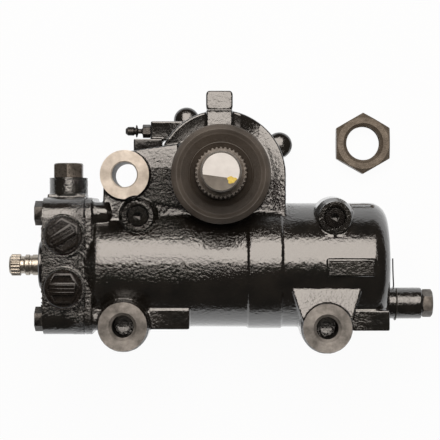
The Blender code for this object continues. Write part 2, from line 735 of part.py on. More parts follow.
def make_valve_housing():
    body = on_piston_axis(prism("valve_housing", valve_outline(), VALVE_LEFT, VALVE_RIGHT, "X"))
    as_part(body, "valve_housing", black_paint())
    for y in port_places():
        profile = [(PISTON_Z, 0), (PISTON_Z, PORT_STEM_R), (PISTON_Z + VALVE_HALF_Z - 0.0015, PORT_STEM_R),
                   (PISTON_Z + VALVE_HALF_Z + 0.0015, PORT_BOSS_R - 0.001), (PORT_FACE_Z - 0.0004, PORT_BOSS_R),
                   (PORT_FACE_Z, PORT_BOSS_R - 0.0004), (PORT_FACE_Z, 0)]
        join(body, turned("port_boss", profile, "Z", (PORT_X, y, 0), MEDIUM_ROUND))
    low = PISTON_Y + VALVE_HALF_Y
    middle = ((VALVE_LEFT + VALVE_RIGHT) / 2, -PISTON_Z)
    upstand = rectangle(VALVE_RIGHT - VALVE_LEFT - 0.002, UPSTAND_WIDTH, center=middle)
    join(body, prism("relief_upstand", upstand, low - 0.010, low + 0.004, "Y"))
    join(body, rod("relief_boss", RELIEF_BOSS_R, low + 0.003, RELIEF_BOSS_TOP, "Y", (RELIEF_X, PISTON_Z),
                   MEDIUM_ROUND))
    cut(body, rod("valve_bore", SLEEVE_R + RUN, VALVE_LEFT - 0.002, VALVE_RIGHT + 0.002, "X", (PISTON_Y, PISTON_Z),
                  MEDIUM_ROUND))
    for y in port_places():
        cut(
            body,
            rod("port_hole", PORT_HOLE_R, PORT_FACE_Z - PORT_DEPTH, PORT_FACE_Z + 0.002, at=(PORT_X, y)),
            rod("spot_face", SPOT_FACE_R, PORT_FACE_Z - SPOT_FACE_DEPTH, PORT_FACE_Z + 0.002, at=(PORT_X, y),
                steps=CHAMBER_ROUND),
        )
    cut(body, rod("relief_hole", RELIEF_HOLE_R + SEAT, RELIEF_BOSS_TOP - RELIEF_DEPTH - SEAT, RELIEF_BOSS_TOP + 0.002,
                  "Y", (RELIEF_X, PISTON_Z)))
    for y, z in valve_bolt_places():
        cut(body, rod("valve_body_bolt_hole", VALVE_BOLT_R + SEAT, VALVE_LEFT - 0.002, VALVE_RIGHT + 0.002, "X",
                      (y, z), BOLT_ROUND))


def make_valve_cover():
    cover = prism("valve_end_cover", valve_outline(COVER_MARGIN), COVER_LEFT, COVER_RIGHT, "X", edge=0.0015)
    as_part(on_piston_axis(cover), "valve_end_cover", black_paint())
    join(cover, rod("cover_hub", HUB_R, HUB_LEFT, COVER_LEFT + 0.002, "X", (PISTON_Y, PISTON_Z), MEDIUM_ROUND))
    mouth = HUB_LEFT + HUB_LIP
    bore = [(HUB_LEFT - 0.002, 0), (HUB_LEFT - 0.002, HUB_MOUTH_R), (mouth, HUB_MOUTH_R), (mouth, HUB_BORE_R),
            (COVER_RIGHT + 0.002, HUB_BORE_R), (COVER_RIGHT + 0.002, 0)]
    cut(cover, turned("hub_bore", bore, "X", (0, PISTON_Y, PISTON_Z), VALVE_ROUND))
    for y, z in valve_bolt_places():
        cut(cover, rod("cover_bolt_way", VALVE_BOLT_R + SEAT, COVER_LEFT - 0.002, COVER_RIGHT + 0.002, "X", (y, z),
                       BOLT_ROUND))


def make_valve_bolts():
    for index, (y, z) in enumerate(valve_bolt_places(), 1):
        bolt = hex_bolt(f"valve_bolt_{index}", VALVE_BOLT_AF, VALVE_BOLT_HEAD, VALVE_BOLT_R,
                        VALVE_BOLT_END - COVER_LEFT, 0.0008)
        along(bolt, "X")
        bolt.location = (COVER_LEFT - SEAT, y, z)
        turn_with(bolt, bolt.name + "_shank")
        as_part(bolt, bolt.name, dark_steel())


def turn_with(obj, helper_name):
    """Places the helper that a shape is joined with where the shape itself is."""
    other = bpy.data.objects[helper_name]
    other.rotation_euler = obj.rotation_euler
    other.location = obj.location


def make_port_plug(name, y, turn):
    """A plastic shipping plug: round flange, hexagon ring and a broad ribbed bar."""
    plug = rod(name, PORT_PLUG_R, 0, PLUG_FLANGE_TOP, steps=CHAMBER_ROUND)
    place = Vector((PORT_X, y, PORT_FACE_Z - SPOT_FACE_DEPTH + SEAT))
    shapes = [
        rod(name + "_stem", PORT_HOLE_R - 0.0008, -PLUG_STEM_LENGTH, PLUG_FLANGE_TOP / 2),
        prism(name + "_hexagon", polygon(6, PLUG_HEX_AF), PLUG_FLANGE_TOP - 0.0005, PLUG_HEX_TOP),
    ]
    bar = prism(name + "_bar", rectangle(*PLUG_BAR), PLUG_WELL_FLOOR, PLUG_BAR_TOP)
    ribs = []
    for side in (-1, 0, 1):
        outline = rectangle(*PLUG_RIB, center=(0, PLUG_RIB_PITCH * side))
        ribs.append(prism(f"{name}_rib_{side}", outline, PLUG_BAR_TOP - 0.0012, PLUG_RIB_TOP))
    well = prism(name + "_well", polygon(6, PLUG_WELL_AF), PLUG_WELL_FLOOR, PLUG_RIB_TOP + 0.001)
    join(plug, *shapes)
    cut(plug, well)
    join(plug, bar, *ribs)
    for obj in (plug, *shapes, well, bar, *ribs):
        obj.rotation_euler = (0, 0, turn)
        obj.location = place
    as_part(plug, name, black_plastic())


def make_relief_plug():
    hexagon = prism("relief_plug", polygon(6, RELIEF_HEX_AF, math.pi / 6), 0, RELIEF_HEX_HEIGHT, edge=0.0010)
    stem = rod("relief_stem", RELIEF_HOLE_R, -RELIEF_DEPTH, 0.002, chamfer=0.001)
    join(hexagon, stem)
    for obj in (hexagon, stem):
        along(obj, "Y")
        obj.location = (RELIEF_X, RELIEF_BOSS_TOP + SEAT, PISTON_Z)
    as_part(hexagon, "relief_plug", dark_steel())


def make_input_shaft():
    """Input shaft and rotor of the valve, hollow for the torsion bar."""
    left = INPUT_END
    inner = TORSION_TUBE_R
    profile = [
        (left + 0.0125, inner), (left + 0.0125, 0.0093), (left + 0.0155, 0.0093), (left + 0.0170, INPUT_R),
        (left + 0.0210, INPUT_R), (left + 0.0218, 0.0099), (left + 0.0234, 0.0099), (left + 0.0242, INPUT_R),
        (ROTOR_LEFT, INPUT_R), (ROTOR_LEFT, ROTOR_R), (ROTOR_RIGHT, ROTOR_R), (ROTOR_RIGHT, inner),
    ]
    shaft = turned("input_shaft", profile, "X", (0, PISTON_Y, PISTON_Z), VALVE_ROUND)
    as_part(shaft, "input_shaft", machined_steel())
    core = turned("tip_core", [(left, inner), (left, 0.0092), (left + 0.0022, 0.0106), (left + 0.0112, 0.0106),
                               (left + 0.0140, 0.0088), (left + 0.0140, inner)], "X", (0, PISTON_Y, PISTON_Z),
                  VALVE_ROUND)
    teeth = prism("tip_serration", serrated(TIP_TEETH, TIP_R - 0.0010, TIP_R), left + 0.002, left + 0.0115, "X")
    way = rod("serration_way", TORSION_TUBE_R + 0.001, left, left + 0.02, "X", (PISTON_Y, PISTON_Z))
    cut(teeth, way)
    join(shaft, core, on_piston_axis(teeth))
    for index in range(ROTOR_SLOTS):
        angle = 2 * math.pi * index / ROTOR_SLOTS
        outline = rectangle(0.004, 0.004, center=(ROTOR_R * math.cos(angle), ROTOR_R * math.sin(angle)))
        cut(shaft, on_piston_axis(prism("rotor_slot", outline, ROTOR_LEFT + 0.008, ROTOR_RIGHT - 0.008, "X")))


def serrated(teeth, root, tip):
    """The outline of a serrated shaft, with pointed teeth."""
    points = []
    for index in range(2 * teeth):
        angle = math.pi * index / teeth
        radius = tip if index % 2 else root
        points.append((radius * math.cos(angle), radius * math.sin(angle)))
    return points


def make_worm():
    """Worm shaft: journal, flange, ball track and the blind way for the torsion bar."""
    profile = [
        (WORM_HEAD_X, 0), (WORM_HEAD_X, JOURNAL_R), (RETAINER_RIGHT + RUN, JOURNAL_R),
        (RETAINER_RIGHT + RUN, WORM_FLANGE_R), (RETAINER_RIGHT + 0.0028, WORM_FLANGE_R),
        (RETAINER_RIGHT + 0.0038, WORM_R - 0.002), (THREAD_LEFT - 0.008, WORM_R - 0.002),
        (THREAD_LEFT - 0.006, WORM_R), (THREAD_RIGHT + 0.004, WORM_R), (THREAD_RIGHT + 0.006, WORM_R - 0.002),
        (THREAD_RIGHT + 0.006, 0),
    ]
    worm = turned("worm_shaft", profile, "X", (0, PISTON_Y, PISTON_Z), BOSS_ROUND)
    as_part(worm, "worm_shaft", machined_steel())
    cut(
        worm,
        tube("worm_track", helix(THREAD_LEFT, THREAD_RIGHT, BALL_CIRCLE_R), GROOVE_R, 0),
        rod("worm_torsion_way", TORSION_TUBE_R, WORM_HEAD_X - 0.002, TORSION_RIGHT + RUN, "X", (PISTON_Y, PISTON_Z)),
        pin_way("worm_pin_way", SEAT),
    )


def pin_way(name, gap):
    return rod(name, PIN_R + gap, PISTON_Y - 0.020, PISTON_Y + 0.020, "Y", (worm_pin_x(), PISTON_Z))


def worm_pin_x():
    return WORM_HEAD_X + 0.010


def make_torsion_bar():
    bar = turned("torsion_bar", [
        (INPUT_END + 0.001, 0), (INPUT_END + 0.001, TORSION_R), (INPUT_END + 0.020, TORSION_R),
        (INPUT_END + 0.026, TORSION_R - 0.0010), (WORM_HEAD_X - 0.006, TORSION_R - 0.0010), (WORM_HEAD_X, TORSION_R),
        (TORSION_RIGHT, TORSION_R), (TORSION_RIGHT, 0),
    ], "X", (0, PISTON_Y, PISTON_Z), SMALL_ROUND)
    as_part(bar, "torsion_bar", machined_steel())
    cut(bar, pin_way("bar_pin_way", SEAT))
    half = PIN_LENGTH / 2
    pin = rod("torsion_pin", PIN_R, PISTON_Y - half, PISTON_Y + half, "Y", (worm_pin_x(), PISTON_Z))
    as_part(pin, "torsion_pin", dark_steel())


def make_sleeve():
    """Valve sleeve round the rotor, with three lands between ring grooves."""
    outer = SLEEVE_R
    profile = [(SLEEVE_LEFT, ROTOR_R + RUN), (SLEEVE_LEFT, outer)]
    right = WORM_HEAD_X - SEAT
    for index in range(1, 3):
        middle = SLEEVE_LEFT + (right - SLEEVE_LEFT) * index / 3
        profile += [(middle - 0.0025, outer), (middle - 0.0025, outer - 0.002), (middle + 0.0025, outer - 0.002),
                    (middle + 0.0025, outer)]
    profile += [(right, outer), (right, ROTOR_R + RUN)]
    sleeve = turned("valve_sleeve", profile, "X", (0, PISTON_Y, PISTON_Z), VALVE_ROUND)
    as_part(sleeve, "valve_sleeve", machined_steel())


def make_worm_bearing():
    """The ring in the bore that carries the worm bearing."""
    inner = SLEEVE_R + RUN
    shoulder = WORM_HEAD_X
    left = HOUSING_LEFT + SEAT
    seat = WORM_BEARING_R + SEAT
    profile = [(left, inner), (left, BORE_R - SEAT), (RETAINER_RIGHT, BORE_R - SEAT), (RETAINER_RIGHT, seat),
               (shoulder, seat), (shoulder, inner)]
    as_part(turned("worm_bearing_retainer", profile, "X", (0, PISTON_Y, PISTON_Z)), "worm_bearing_retainer",
            dark_steel())
    start = shoulder + SEAT
    bearing = bearing_profile(start, start + BEARING_WIDTH, JOURNAL_R + RUN, WORM_BEARING_R)
    ring_pair = turned("worm_bearing", bearing, "X", (0, PISTON_Y, PISTON_Z), VALVE_ROUND)
    as_part(ring_pair, "worm_bearing", machined_steel())


def bearing_profile(start, end, inner, outer):
    """Two rings joined by a thinner web, where the cage and its rollers are."""
    wall = (outer - inner) * 0.3
    step = (end - start) * 0.15
    return [
        (start, inner), (start, inner + wall), (start + step, inner + wall), (start + step, outer - wall),
        (start, outer - wall), (start, outer), (end, outer), (end, inner),
    ]


def make_input_fittings():
    bore = HUB_BORE_R - SEAT
    inner = INPUT_R + RUN
    start = HUB_LEFT + HUB_LIP + SEAT
    seal = seal_profile(start, start + INPUT_SEAL_WIDTH, inner, bore)
    as_part(turned("input_seal", seal, "X", (0, PISTON_Y, PISTON_Z), BOSS_ROUND), "input_seal", rubber())
    start += INPUT_SEAL_WIDTH + SEAT
    bearing = turned("input_bearing", bearing_profile(start, COVER_RIGHT - 0.002, inner, bore), "X",
                     (0, PISTON_Y, PISTON_Z), BOSS_ROUND)
    as_part(bearing, "input_bearing", machined_steel())


def seal_profile(start, end, inner, outer):
    """A lip seal: a ring that is hollow behind its lip."""
    width = outer - inner
    return [(start, inner), (start, outer), (end, outer), ((start + end) / 2, outer - width * 0.4),
            (end, inner + width * 0.3), (end, inner)]


# Rack piston and balls

def rack_outline():
    """The space that is cut from the piston's upper side: a row of tooth gaps under a flat top."""
    pitch = math.pi * MODULE
    slope = math.tan(PRESSURE_ANGLE)
    tip = -PITCH_R + ADDENDUM + 0.0004
    root = -PITCH_R - DEDENDUM
    half_pitch_gap = pitch / 4 + BACKLASH / 2
    half_top = half_pitch_gap + (tip + PITCH_R) * slope
    half_root = half_pitch_gap - (-PITCH_R - root) * slope
    edge = pitch * (SECTOR_TEETH / 2 + 0.6)
    ceiling = PISTON_Y + PISTON_R + 0.005
    points = [(edge, ceiling), (-edge, ceiling), (-edge, tip)]
    for index in range(SECTOR_TEETH):
        middle = pitch * (index - (SECTOR_TEETH - 1) / 2)
        points += [(middle - half_top, tip), (middle - half_root, root), (middle + half_root, root),
                   (middle + half_top, tip)]
    return points + [(edge, tip)]


def make_rack_piston():
    bevel = PISTON_BEVEL
    profile = [
        (PISTON_LEFT, 0), (PISTON_LEFT, PISTON_R - bevel), (PISTON_LEFT + bevel, PISTON_R),
        (RING_GROOVE_X, PISTON_R), (RING_GROOVE_X, PISTON_R - RING_DEPTH),
        (RING_GROOVE_X + RING_WIDTH, PISTON_R - RING_DEPTH), (RING_GROOVE_X + RING_WIDTH, PISTON_R),
        (PISTON_RIGHT - bevel, PISTON_R), (PISTON_RIGHT, PISTON_R - bevel), (PISTON_RIGHT, 0),
    ]
    piston = turned("rack_piston", profile, "X", (0, PISTON_Y, PISTON_Z))
    as_part(piston, "rack_piston", machined_steel())
    reach = BALL_TURNS * LEAD / 2 + LEAD * 0.15
    cut(
        piston,
        prism("rack_gaps", rack_outline(), PISTON_Z - PISTON_R - 0.002, PISTON_Z + PISTON_R + 0.002),
        rod("nut_bore", NUT_BORE_R, PISTON_LEFT - 0.002, NUT_BORE_END, "X", (PISTON_Y, PISTON_Z),
            VALVE_ROUND),
        tube("nut_track", helix(BALL_ZONE_X - reach, BALL_ZONE_X + reach, BALL_CIRCLE_R), GROOVE_R, 0),
        return_pocket(),
    )


def return_pocket():
    """The pocket for the ball return guide, open on the side away from the teeth."""
    outline = rectangle(guide_length(), GUIDE_WIDTH, GUIDE_CORNER, 3, (BALL_ZONE_X, PISTON_Z))
    bottom = PISTON_Y - PISTON_R
    return prism("return_pocket", [(x, -z) for x, z in outline], bottom - 0.002, bottom + GUIDE_DEPTH, "Y")


def guide_length():
    return BALL_TURNS * LEAD + GUIDE_OVERHANG


def make_return_guide():
    """Cover of the ball return passage, seated in its pocket a little below the piston's surface."""
    length = guide_length() - 2 * SEAT
    outline = rectangle(length, GUIDE_WIDTH - 2 * SEAT, GUIDE_CORNER - SEAT, 3, (BALL_ZONE_X, PISTON_Z))
    low = PISTON_Y - PISTON_R + GUIDE_SINK
    high = PISTON_Y - PISTON_R + GUIDE_DEPTH - SEAT
    guide = prism("ball_return_guide", [(x, -z) for x, z in outline], low, high, "Y", edge=0.001)
    as_part(guide, "ball_return_guide", dark_steel())
    half = length / 2 - 3 * GUIDE_GROOVE_R
    deep = 1.5 * GUIDE_GROOVE_R
    route = [(BALL_ZONE_X + half * share, low + GUIDE_GROOVE_R / 2 - depth, PISTON_Z)
             for share, depth in ((-1, 0), (-0.5, deep), (0.5, deep), (1, 0))]
    cut(guide, tube("guide_groove", route, GUIDE_GROOVE_R, 1))


def make_balls():
    """One circuit of balls in the track, as a chain: each ball meets the next in a thin neck."""
    count = int(2 * math.pi * BALL_CIRCLE_R * BALL_TURNS / (2 * BALL_R + BALL_GAP))
    low = BALL_ZONE_X - BALL_TURNS * LEAD / 2
    step = BALL_TURNS * LEAD / (count - 1)
    stations = ((-0.5, 0.35), (0.0, 1.0))
    places = []
    swell = []
    for index in range(count):
        for shift, share in stations:
            places.append(helix_point(low + step * (index + shift), BALL_CIRCLE_R))
            swell.append(share)
    as_part(tube("balls", places, BALL_R, 1, swell), "balls", machined_steel())


def make_piston_seal():
    inner = PISTON_R - RING_DEPTH + SEAT
    seal = ring("piston_seal", inner, PISTON_R + 0.0002, RING_GROOVE_X + SEAT, RING_GROOVE_X + RING_WIDTH - SEAT, "X",
                (PISTON_Y, PISTON_Z))
    as_part(seal, "piston_seal", black_plastic())


# Output shaft and what carries it

def involute(angle):
    return math.tan(angle) - angle


def sector_outline():
    """Teeth with involute flanks over part of the circle, centred on -Y, closed round the shaft."""
    base = PITCH_R * math.cos(PRESSURE_ANGLE)
    tip = PITCH_R + ADDENDUM
    root = PITCH_R - DEDENDUM + 0.0004
    half_pitch_angle = math.pi / (2 * FULL_CIRCLE_TEETH) - BACKLASH / 2 / PITCH_R
    start = max(base, root) + 0.0001
    flank = []
    for step in range(4):
        radius = start + (tip - start) * step / 3
        bend = involute(math.acos(min(1.0, base / radius)))
        flank.append((radius, half_pitch_angle + involute(PRESSURE_ANGLE) - bend))
    points = []

    def add(radius, angle):
        points.append((radius * math.sin(angle), -radius * math.cos(angle)))

    inner = SHAFT_R - 0.004
    pitch_angle = 2 * math.pi / FULL_CIRCLE_TEETH
    add(inner, SECTOR_HALF_ANGLE)
    add(inner, -SECTOR_HALF_ANGLE)
    add(root, -SECTOR_HALF_ANGLE)
    for index in range(SECTOR_TEETH):
        middle = pitch_angle * (index - (SECTOR_TEETH - 1) / 2)
        add(root, middle - flank[0][1])
        for radius, half in flank:
            add(radius, middle - half)
        for radius, half in reversed(flank):
            add(radius, middle + half)
        add(root, middle + flank[0][1])
    add(root, SECTOR_HALF_ANGLE)
    return points


def make_sector_shaft():
    """Output shaft in one piece with its toothed sector."""
    low = PISTON_Z - SECTOR_WIDTH / 2
    high = PISTON_Z + SECTOR_WIDTH / 2
    spline_top = JOURNAL_TOP + SPLINE_LENGTH
    bottom = SIDE_HUB_INNER + SEAT
    profile = [
        (bottom, 0), (bottom, LOWER_JOURNAL_R), (low - 0.004, LOWER_JOURNAL_R), (low + 0.002, SHAFT_R),
        (JOURNAL_TOP - 0.002, SHAFT_R), (JOURNAL_TOP, SPLINE_ROOT_R - 0.0004),
        (spline_top + 0.001, SPLINE_ROOT_R - 0.0008), (spline_top + 0.003, THREAD_R - 0.0012),
        (spline_top + 0.0055, THREAD_R - 0.0012), (spline_top + 0.007, THREAD_R), (SHAFT_TOP - 0.0015, THREAD_R),
        (SHAFT_TOP, THREAD_R - 0.0015), (SHAFT_TOP, 0),
    ]
    shaft = as_part(turned("sector_shaft", profile, steps=CHAMBER_ROUND), "sector_shaft", machined_steel())
    spline = prism("output_spline", serrated(SPLINE_TEETH, SPLINE_ROOT_R, SPLINE_R), JOURNAL_TOP + 0.001, spline_top)
    join(shaft, prism("sector_teeth", sector_outline(), low, high), spline)
    cut(shaft, rod("adjuster_pocket", ADJUSTER_HEAD_R + 2 * RUN, bottom - 0.002, bottom + ADJUSTER_POCKET_DEPTH,
                   steps=BOSS_ROUND))


def make_neck_fittings():
    low = NECK_BEARING_Z
    bearing = bearing_profile(low, low + NECK_BEARING_HEIGHT, SHAFT_R + RUN, NECK_BEARING_R)
    as_part(turned("sector_bearing", bearing, steps=MEDIUM_ROUND), "sector_bearing", machined_steel())
    start = low + NECK_BEARING_HEIGHT + 2 * SEAT
    seal = seal_profile(start, start + SEAL_HEIGHT, SHAFT_R + RUN, NECK_BEARING_R - 0.0015 - SEAT)
    as_part(turned("sector_seal", seal, steps=MEDIUM_ROUND), "sector_seal", rubber())
    base = FACE_Z + SEAT
    inner = SHAFT_R + RUN
    profile = [
        (base, inner), (base, CAP_R), (base + CAP_HEIGHT - 0.0035, CAP_R), (base + CAP_HEIGHT, CAP_R - 0.0045),
        (base + CAP_HEIGHT - 0.0020, CAP_R - 0.0085), (base + 0.0035, CAP_R - 0.018), (base + 0.0030, inner),
    ]
    as_part(turned("dust_cap", profile), "dust_cap", rubber())


def make_side_cover():
    """Cover plate with bolt lobes, a hub for the lower journal and a recess for the lock nut."""
    top = JOINT_Z - SEAT
    bottom = top - SIDE_COVER_THICKNESS
    bush_r = LOWER_JOURNAL_R + RUN + LOWER_BUSH_WALL
    spigot_top = top + COVER_SPIGOT_HEIGHT
    profile = [
        (HUB_RECESS_DEPTH, ADJUSTER_R + SEAT), (HUB_RECESS_DEPTH, HUB_RECESS_R), (0, HUB_RECESS_R),
        (0, SIDE_HUB_R), (bottom, SIDE_HUB_R + 0.002), (bottom, CHAMBER_FLANGE_R - 0.002),
        (bottom + 0.002, CHAMBER_FLANGE_R), (top, CHAMBER_FLANGE_R), (top, CAVITY_R - SEAT),
        (spigot_top, CAVITY_R - SEAT), (spigot_top, CAVITY_R - 0.009), (top, CAVITY_R - 0.011),
        (top, bush_r + 0.008), (spigot_top, bush_r + 0.005), (spigot_top, bush_r + SEAT),
        (SIDE_HUB_INNER, bush_r + SEAT), (SIDE_HUB_INNER, ADJUSTER_R + SEAT),
    ]
    cover = as_part(turned("side_cover", profile, steps=CHAMBER_ROUND), "side_cover", black_paint())
    for x, y in lobe_places():
        join(cover, rod("cover_plate_lobe", LOBE_R, bottom + 0.0003, top - 0.0003, at=(x, y)))
    rib_start = SIDE_HUB_R - 0.006
    rib_end = CHAMBER_FLANGE_R - 0.008
    outline = rectangle(rib_end - rib_start, SIDE_RIB_WIDTH, center=((rib_start + rib_end) / 2, 0))
    for index in range(SIDE_COVER_RIBS):
        angle = math.radians(LOBE_ANGLES[0]) + 2 * math.pi * (index + 0.5) / SIDE_COVER_RIBS
        rib = prism("cover_rib", outline, bottom - SIDE_RIB_HEIGHT, bottom + 0.002)
        rib.rotation_euler = (0, 0, angle)
        join(cover, rib)
    for x, y in lobe_places():
        cut(cover, rod("cover_bolt_pass", COVER_BOLT_R + SEAT, bottom - 0.002, top + 0.002, at=(x, y),
                       steps=BOLT_ROUND))
    bush = ring("sector_bush", LOWER_JOURNAL_R + RUN, bush_r, SIDE_HUB_INNER + SEAT,
                top + COVER_SPIGOT_HEIGHT - 0.001, steps=CHAMBER_ROUND)
    as_part(bush, "sector_bush", bronze())
    for index, (x, y) in enumerate(lobe_places(), 1):
        name = f"side_cover_bolt_{index}"
        bolt = hex_bolt(name, COVER_BOLT_AF, COVER_BOLT_HEAD, COVER_BOLT_R,
                        SIDE_COVER_THICKNESS + COVER_BOLT_DEPTH)
        bolt.location = (x, y, bottom - SEAT)
        turn_with(bolt, name + "_shank")
        as_part(bolt, name, dark_steel())


def make_adjuster():
    pocket = SIDE_HUB_INNER + SEAT
    head_low = pocket + RETAINER_HEIGHT
    head_top = head_low + ADJUSTER_HEAD_HEIGHT
    stem = rod("adjuster_screw", ADJUSTER_R, 0.0008, head_low + 0.001, steps=BOSS_ROUND, chamfer=0.0008)
    as_part(stem, "adjuster_screw", dark_steel())
    join(stem, rod("adjuster_head", ADJUSTER_HEAD_R, head_low, head_top, steps=BOSS_ROUND))
    cut(stem, prism("adjuster_socket", polygon(6, ADJUSTER_SOCKET_AF), 0, 0.006))
    nut = prism("adjuster_lock_nut", polygon(6, LOCK_NUT_AF), HUB_RECESS_DEPTH - SEAT - LOCK_NUT_HEIGHT,
                HUB_RECESS_DEPTH - SEAT, edge=0.0008)
    as_part(nut, "adjuster_lock_nut", dark_steel())
    cut(nut, rod("lock_nut_way", ADJUSTER_R + SEAT, -0.002, HUB_RECESS_DEPTH + 0.002, steps=BOSS_ROUND))
    retainer = ring("adjuster_retainer", ADJUSTER_R + RUN, ADJUSTER_HEAD_R + 2 * RUN - SEAT, pocket,
                    head_low - RUN, steps=BOSS_ROUND)
    as_part(retainer, "adjuster_retainer", dark_steel())


# Small fittings

def make_bore_plugs():
    for name, (x, y, radius, top) in zip(("bore_plug_left", "bore_plug_right"), PLUG_BOSSES):
        high = top - BORE_PLUG_SINK
        plug = rod(name, BORE_PLUG_R, high - BORE_PLUG_HEIGHT, high, at=(x, y), chamfer=0.0008)
        as_part(plug, name, dark_steel())
        socket = prism(name + "_socket", polygon(6, BORE_PLUG_SOCKET_AF), high - BORE_PLUG_HEIGHT / 2, high + 0.002)
        socket.location = (x, y, 0)
        cut(plug, socket)


def make_limiter():
    body = prism("limiter_screw", polygon(6, LIMITER_HEX_AF), LIMITER_BOSS_END + SEAT,
                 LIMITER_BOSS_END + SEAT + LIMITER_HEX_LENGTH, "X", (0, LIMITER_Y, PISTON_Z), 0.0012)
    as_part(body, "limiter_screw", dark_steel())
    join(body, rod("limiter_stem", LIMITER_STEM_R, BORE_END + 0.001, LIMITER_BOSS_END + 0.003, "X",
                   (LIMITER_Y, PISTON_Z), chamfer=0.001))


def make_wire():
    """Thin wire round the limiter boss, with one end standing up beside the cylinder."""
    radius = LIMITER_BOSS_R + SEAT + 0.0002 + WIRE_R
    points = [(WIRE_X - 0.0012, WIRE_TAIL_TOP, PISTON_Z + 0.002),
              (WIRE_X - 0.0012, (WIRE_TAIL_TOP + LIMITER_Y + radius) / 2, PISTON_Z + 0.001)]
    for step in range(17):
        angle = 2 * math.pi * 0.92 * step / 16
        points.append((WIRE_X + 0.0018 * step / 16, LIMITER_Y + radius * math.cos(angle),
                       PISTON_Z - radius * math.sin(angle)))
    as_part(tube("limiter_seal_wire", points, WIRE_R, 0), "limiter_seal_wire", machined_steel())


def make_bleed_screw():
    left = BLEED_BLOCK_LEFT - SEAT
    hexagon = prism("bleed_screw", polygon(6, BLEED_HEX_AF), left - BLEED_HEX_LENGTH, left, "X",
                    (0, BLEED_Y, BLEED_Z), 0.0006)
    as_part(hexagon, "bleed_screw", dark_steel())
    profile = [
        (left - 0.0265, 0), (left - 0.0265, 0.0030), (left - 0.0240, 0.0046), (left - 0.0175, 0.0046),
        (left - 0.0165, 0.0034), (left - 0.0155, 0.0066), (left - 0.0142, 0.0066), (left - 0.0130, 0.0026),
        (left - 0.0095, 0.0026), (left - 0.0080, 0.0040), (left + 0.0110, BLEED_STEM_R), (left + 0.0110, 0),
    ]
    join(hexagon, turned("bleed_nipple", profile, "X", (0, BLEED_Y, BLEED_Z), BOLT_ROUND))


def make_drop_arm_nut():
    nut = prism("drop_arm_nut", polygon(6, NUT_AF, math.pi / 2), 0, NUT_HEIGHT, at=(NUT_X, NUT_Y, 0), edge=0.0014)
    as_part(nut, "drop_arm_nut", dark_steel())
    wide = NUT_HOLE_R + NUT_CHAMFER
    hole = [(-0.001, 0), (-0.001, wide + 0.0005), (NUT_CHAMFER, NUT_HOLE_R), (NUT_HEIGHT - NUT_CHAMFER, NUT_HOLE_R),
            (NUT_HEIGHT + 0.001, wide + 0.0005), (NUT_HEIGHT + 0.001, 0)]
    cut(nut, turned("nut_hole", hole, "Z", (NUT_X, NUT_Y, 0), CHAMBER_ROUND))


def move_to_origin():
    """Puts the floor point under the middle of the whole at the origin."""
    for obj in bpy.data.objects:
        obj.location += Vector(SHAFT_PLACE)


def main():
    global parts, helpers
    clear_scene()
    parts = new_collection("steering_gearbox")
    helpers = new_collection("cutters")
    make_housing()
    make_valve_housing()
    make_valve_cover()
    make_valve_bolts()
    for name, y, turn in zip(("port_plug_upper", "port_plug_lower"), port_places(), PORT_PLUG_TURNS):
        make_port_plug(name, y, turn)
    make_relief_plug()
    make_input_shaft()
    make_worm()
    make_torsion_bar()
    make_sleeve()
    make_worm_bearing()
    make_input_fittings()
    make_rack_piston()
    make_return_guide()
    make_balls()
    make_piston_seal()
    make_sector_shaft()
    make_neck_fittings()
    make_side_cover()
    make_adjuster()
    make_bore_plugs()
    make_limiter()
    make_wire()
    make_bleed_screw()
    make_drop_arm_nut()
    move_to_origin()


main()
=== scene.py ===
"""The looks of a hydraulic steering gearbox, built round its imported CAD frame.

The shapes are drawn in metres round the output shaft's axis, as in the CAD, and moved to the frame by SHAFT.
"""

import json
from math import acos, asin, atan2, cos, pi, radians, sin, tan

import bmesh
import bpy
import numpy as np
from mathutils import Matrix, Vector, noise


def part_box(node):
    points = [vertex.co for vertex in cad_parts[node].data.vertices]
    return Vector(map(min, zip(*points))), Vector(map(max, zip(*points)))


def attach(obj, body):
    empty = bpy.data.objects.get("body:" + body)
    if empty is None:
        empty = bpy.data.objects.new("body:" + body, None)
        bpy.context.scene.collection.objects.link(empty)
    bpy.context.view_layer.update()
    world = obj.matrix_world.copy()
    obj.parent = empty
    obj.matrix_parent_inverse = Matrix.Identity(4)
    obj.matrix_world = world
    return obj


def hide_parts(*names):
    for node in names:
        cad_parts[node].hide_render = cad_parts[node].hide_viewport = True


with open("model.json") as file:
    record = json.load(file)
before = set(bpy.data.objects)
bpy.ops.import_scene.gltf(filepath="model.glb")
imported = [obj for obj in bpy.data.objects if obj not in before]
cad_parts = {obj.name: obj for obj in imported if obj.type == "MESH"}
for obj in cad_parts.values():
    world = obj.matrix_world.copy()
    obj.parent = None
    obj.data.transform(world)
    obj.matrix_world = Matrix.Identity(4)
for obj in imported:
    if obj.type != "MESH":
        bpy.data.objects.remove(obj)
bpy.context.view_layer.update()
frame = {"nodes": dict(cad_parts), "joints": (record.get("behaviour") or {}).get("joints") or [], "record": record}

JOINTS = {joint["name"]: joint for joint in frame["joints"]}
MOUNTS = {mount["name"]: mount for mount in frame["record"]["mounts"]}
OPENINGS = {opening["name"]: opening["box_m"] for opening in frame["record"]["physics"]["openings"]}

# Axes and planes, from the frame
SHAFT = Vector((*JOINTS["output_shaft_turn"]["pos_m"][:2], 0))
PISTON_Y = JOINTS["worm_turn"]["pos_m"][1] - SHAFT.y
PISTON_Z = JOINTS["worm_turn"]["pos_m"][2]
PISTON = (PISTON_Y, PISTON_Z)
FACE_Z = MOUNTS["through_boss_face"]["pos_m"][2]
PORT_FACE_Z = MOUNTS["upper_port_face"]["pos_m"][2]
SHAFT_TOP = MOUNTS["output_shaft_end"]["pos_m"][2]
INPUT_END = MOUNTS["input_shaft_end"]["pos_m"][0] - SHAFT.x

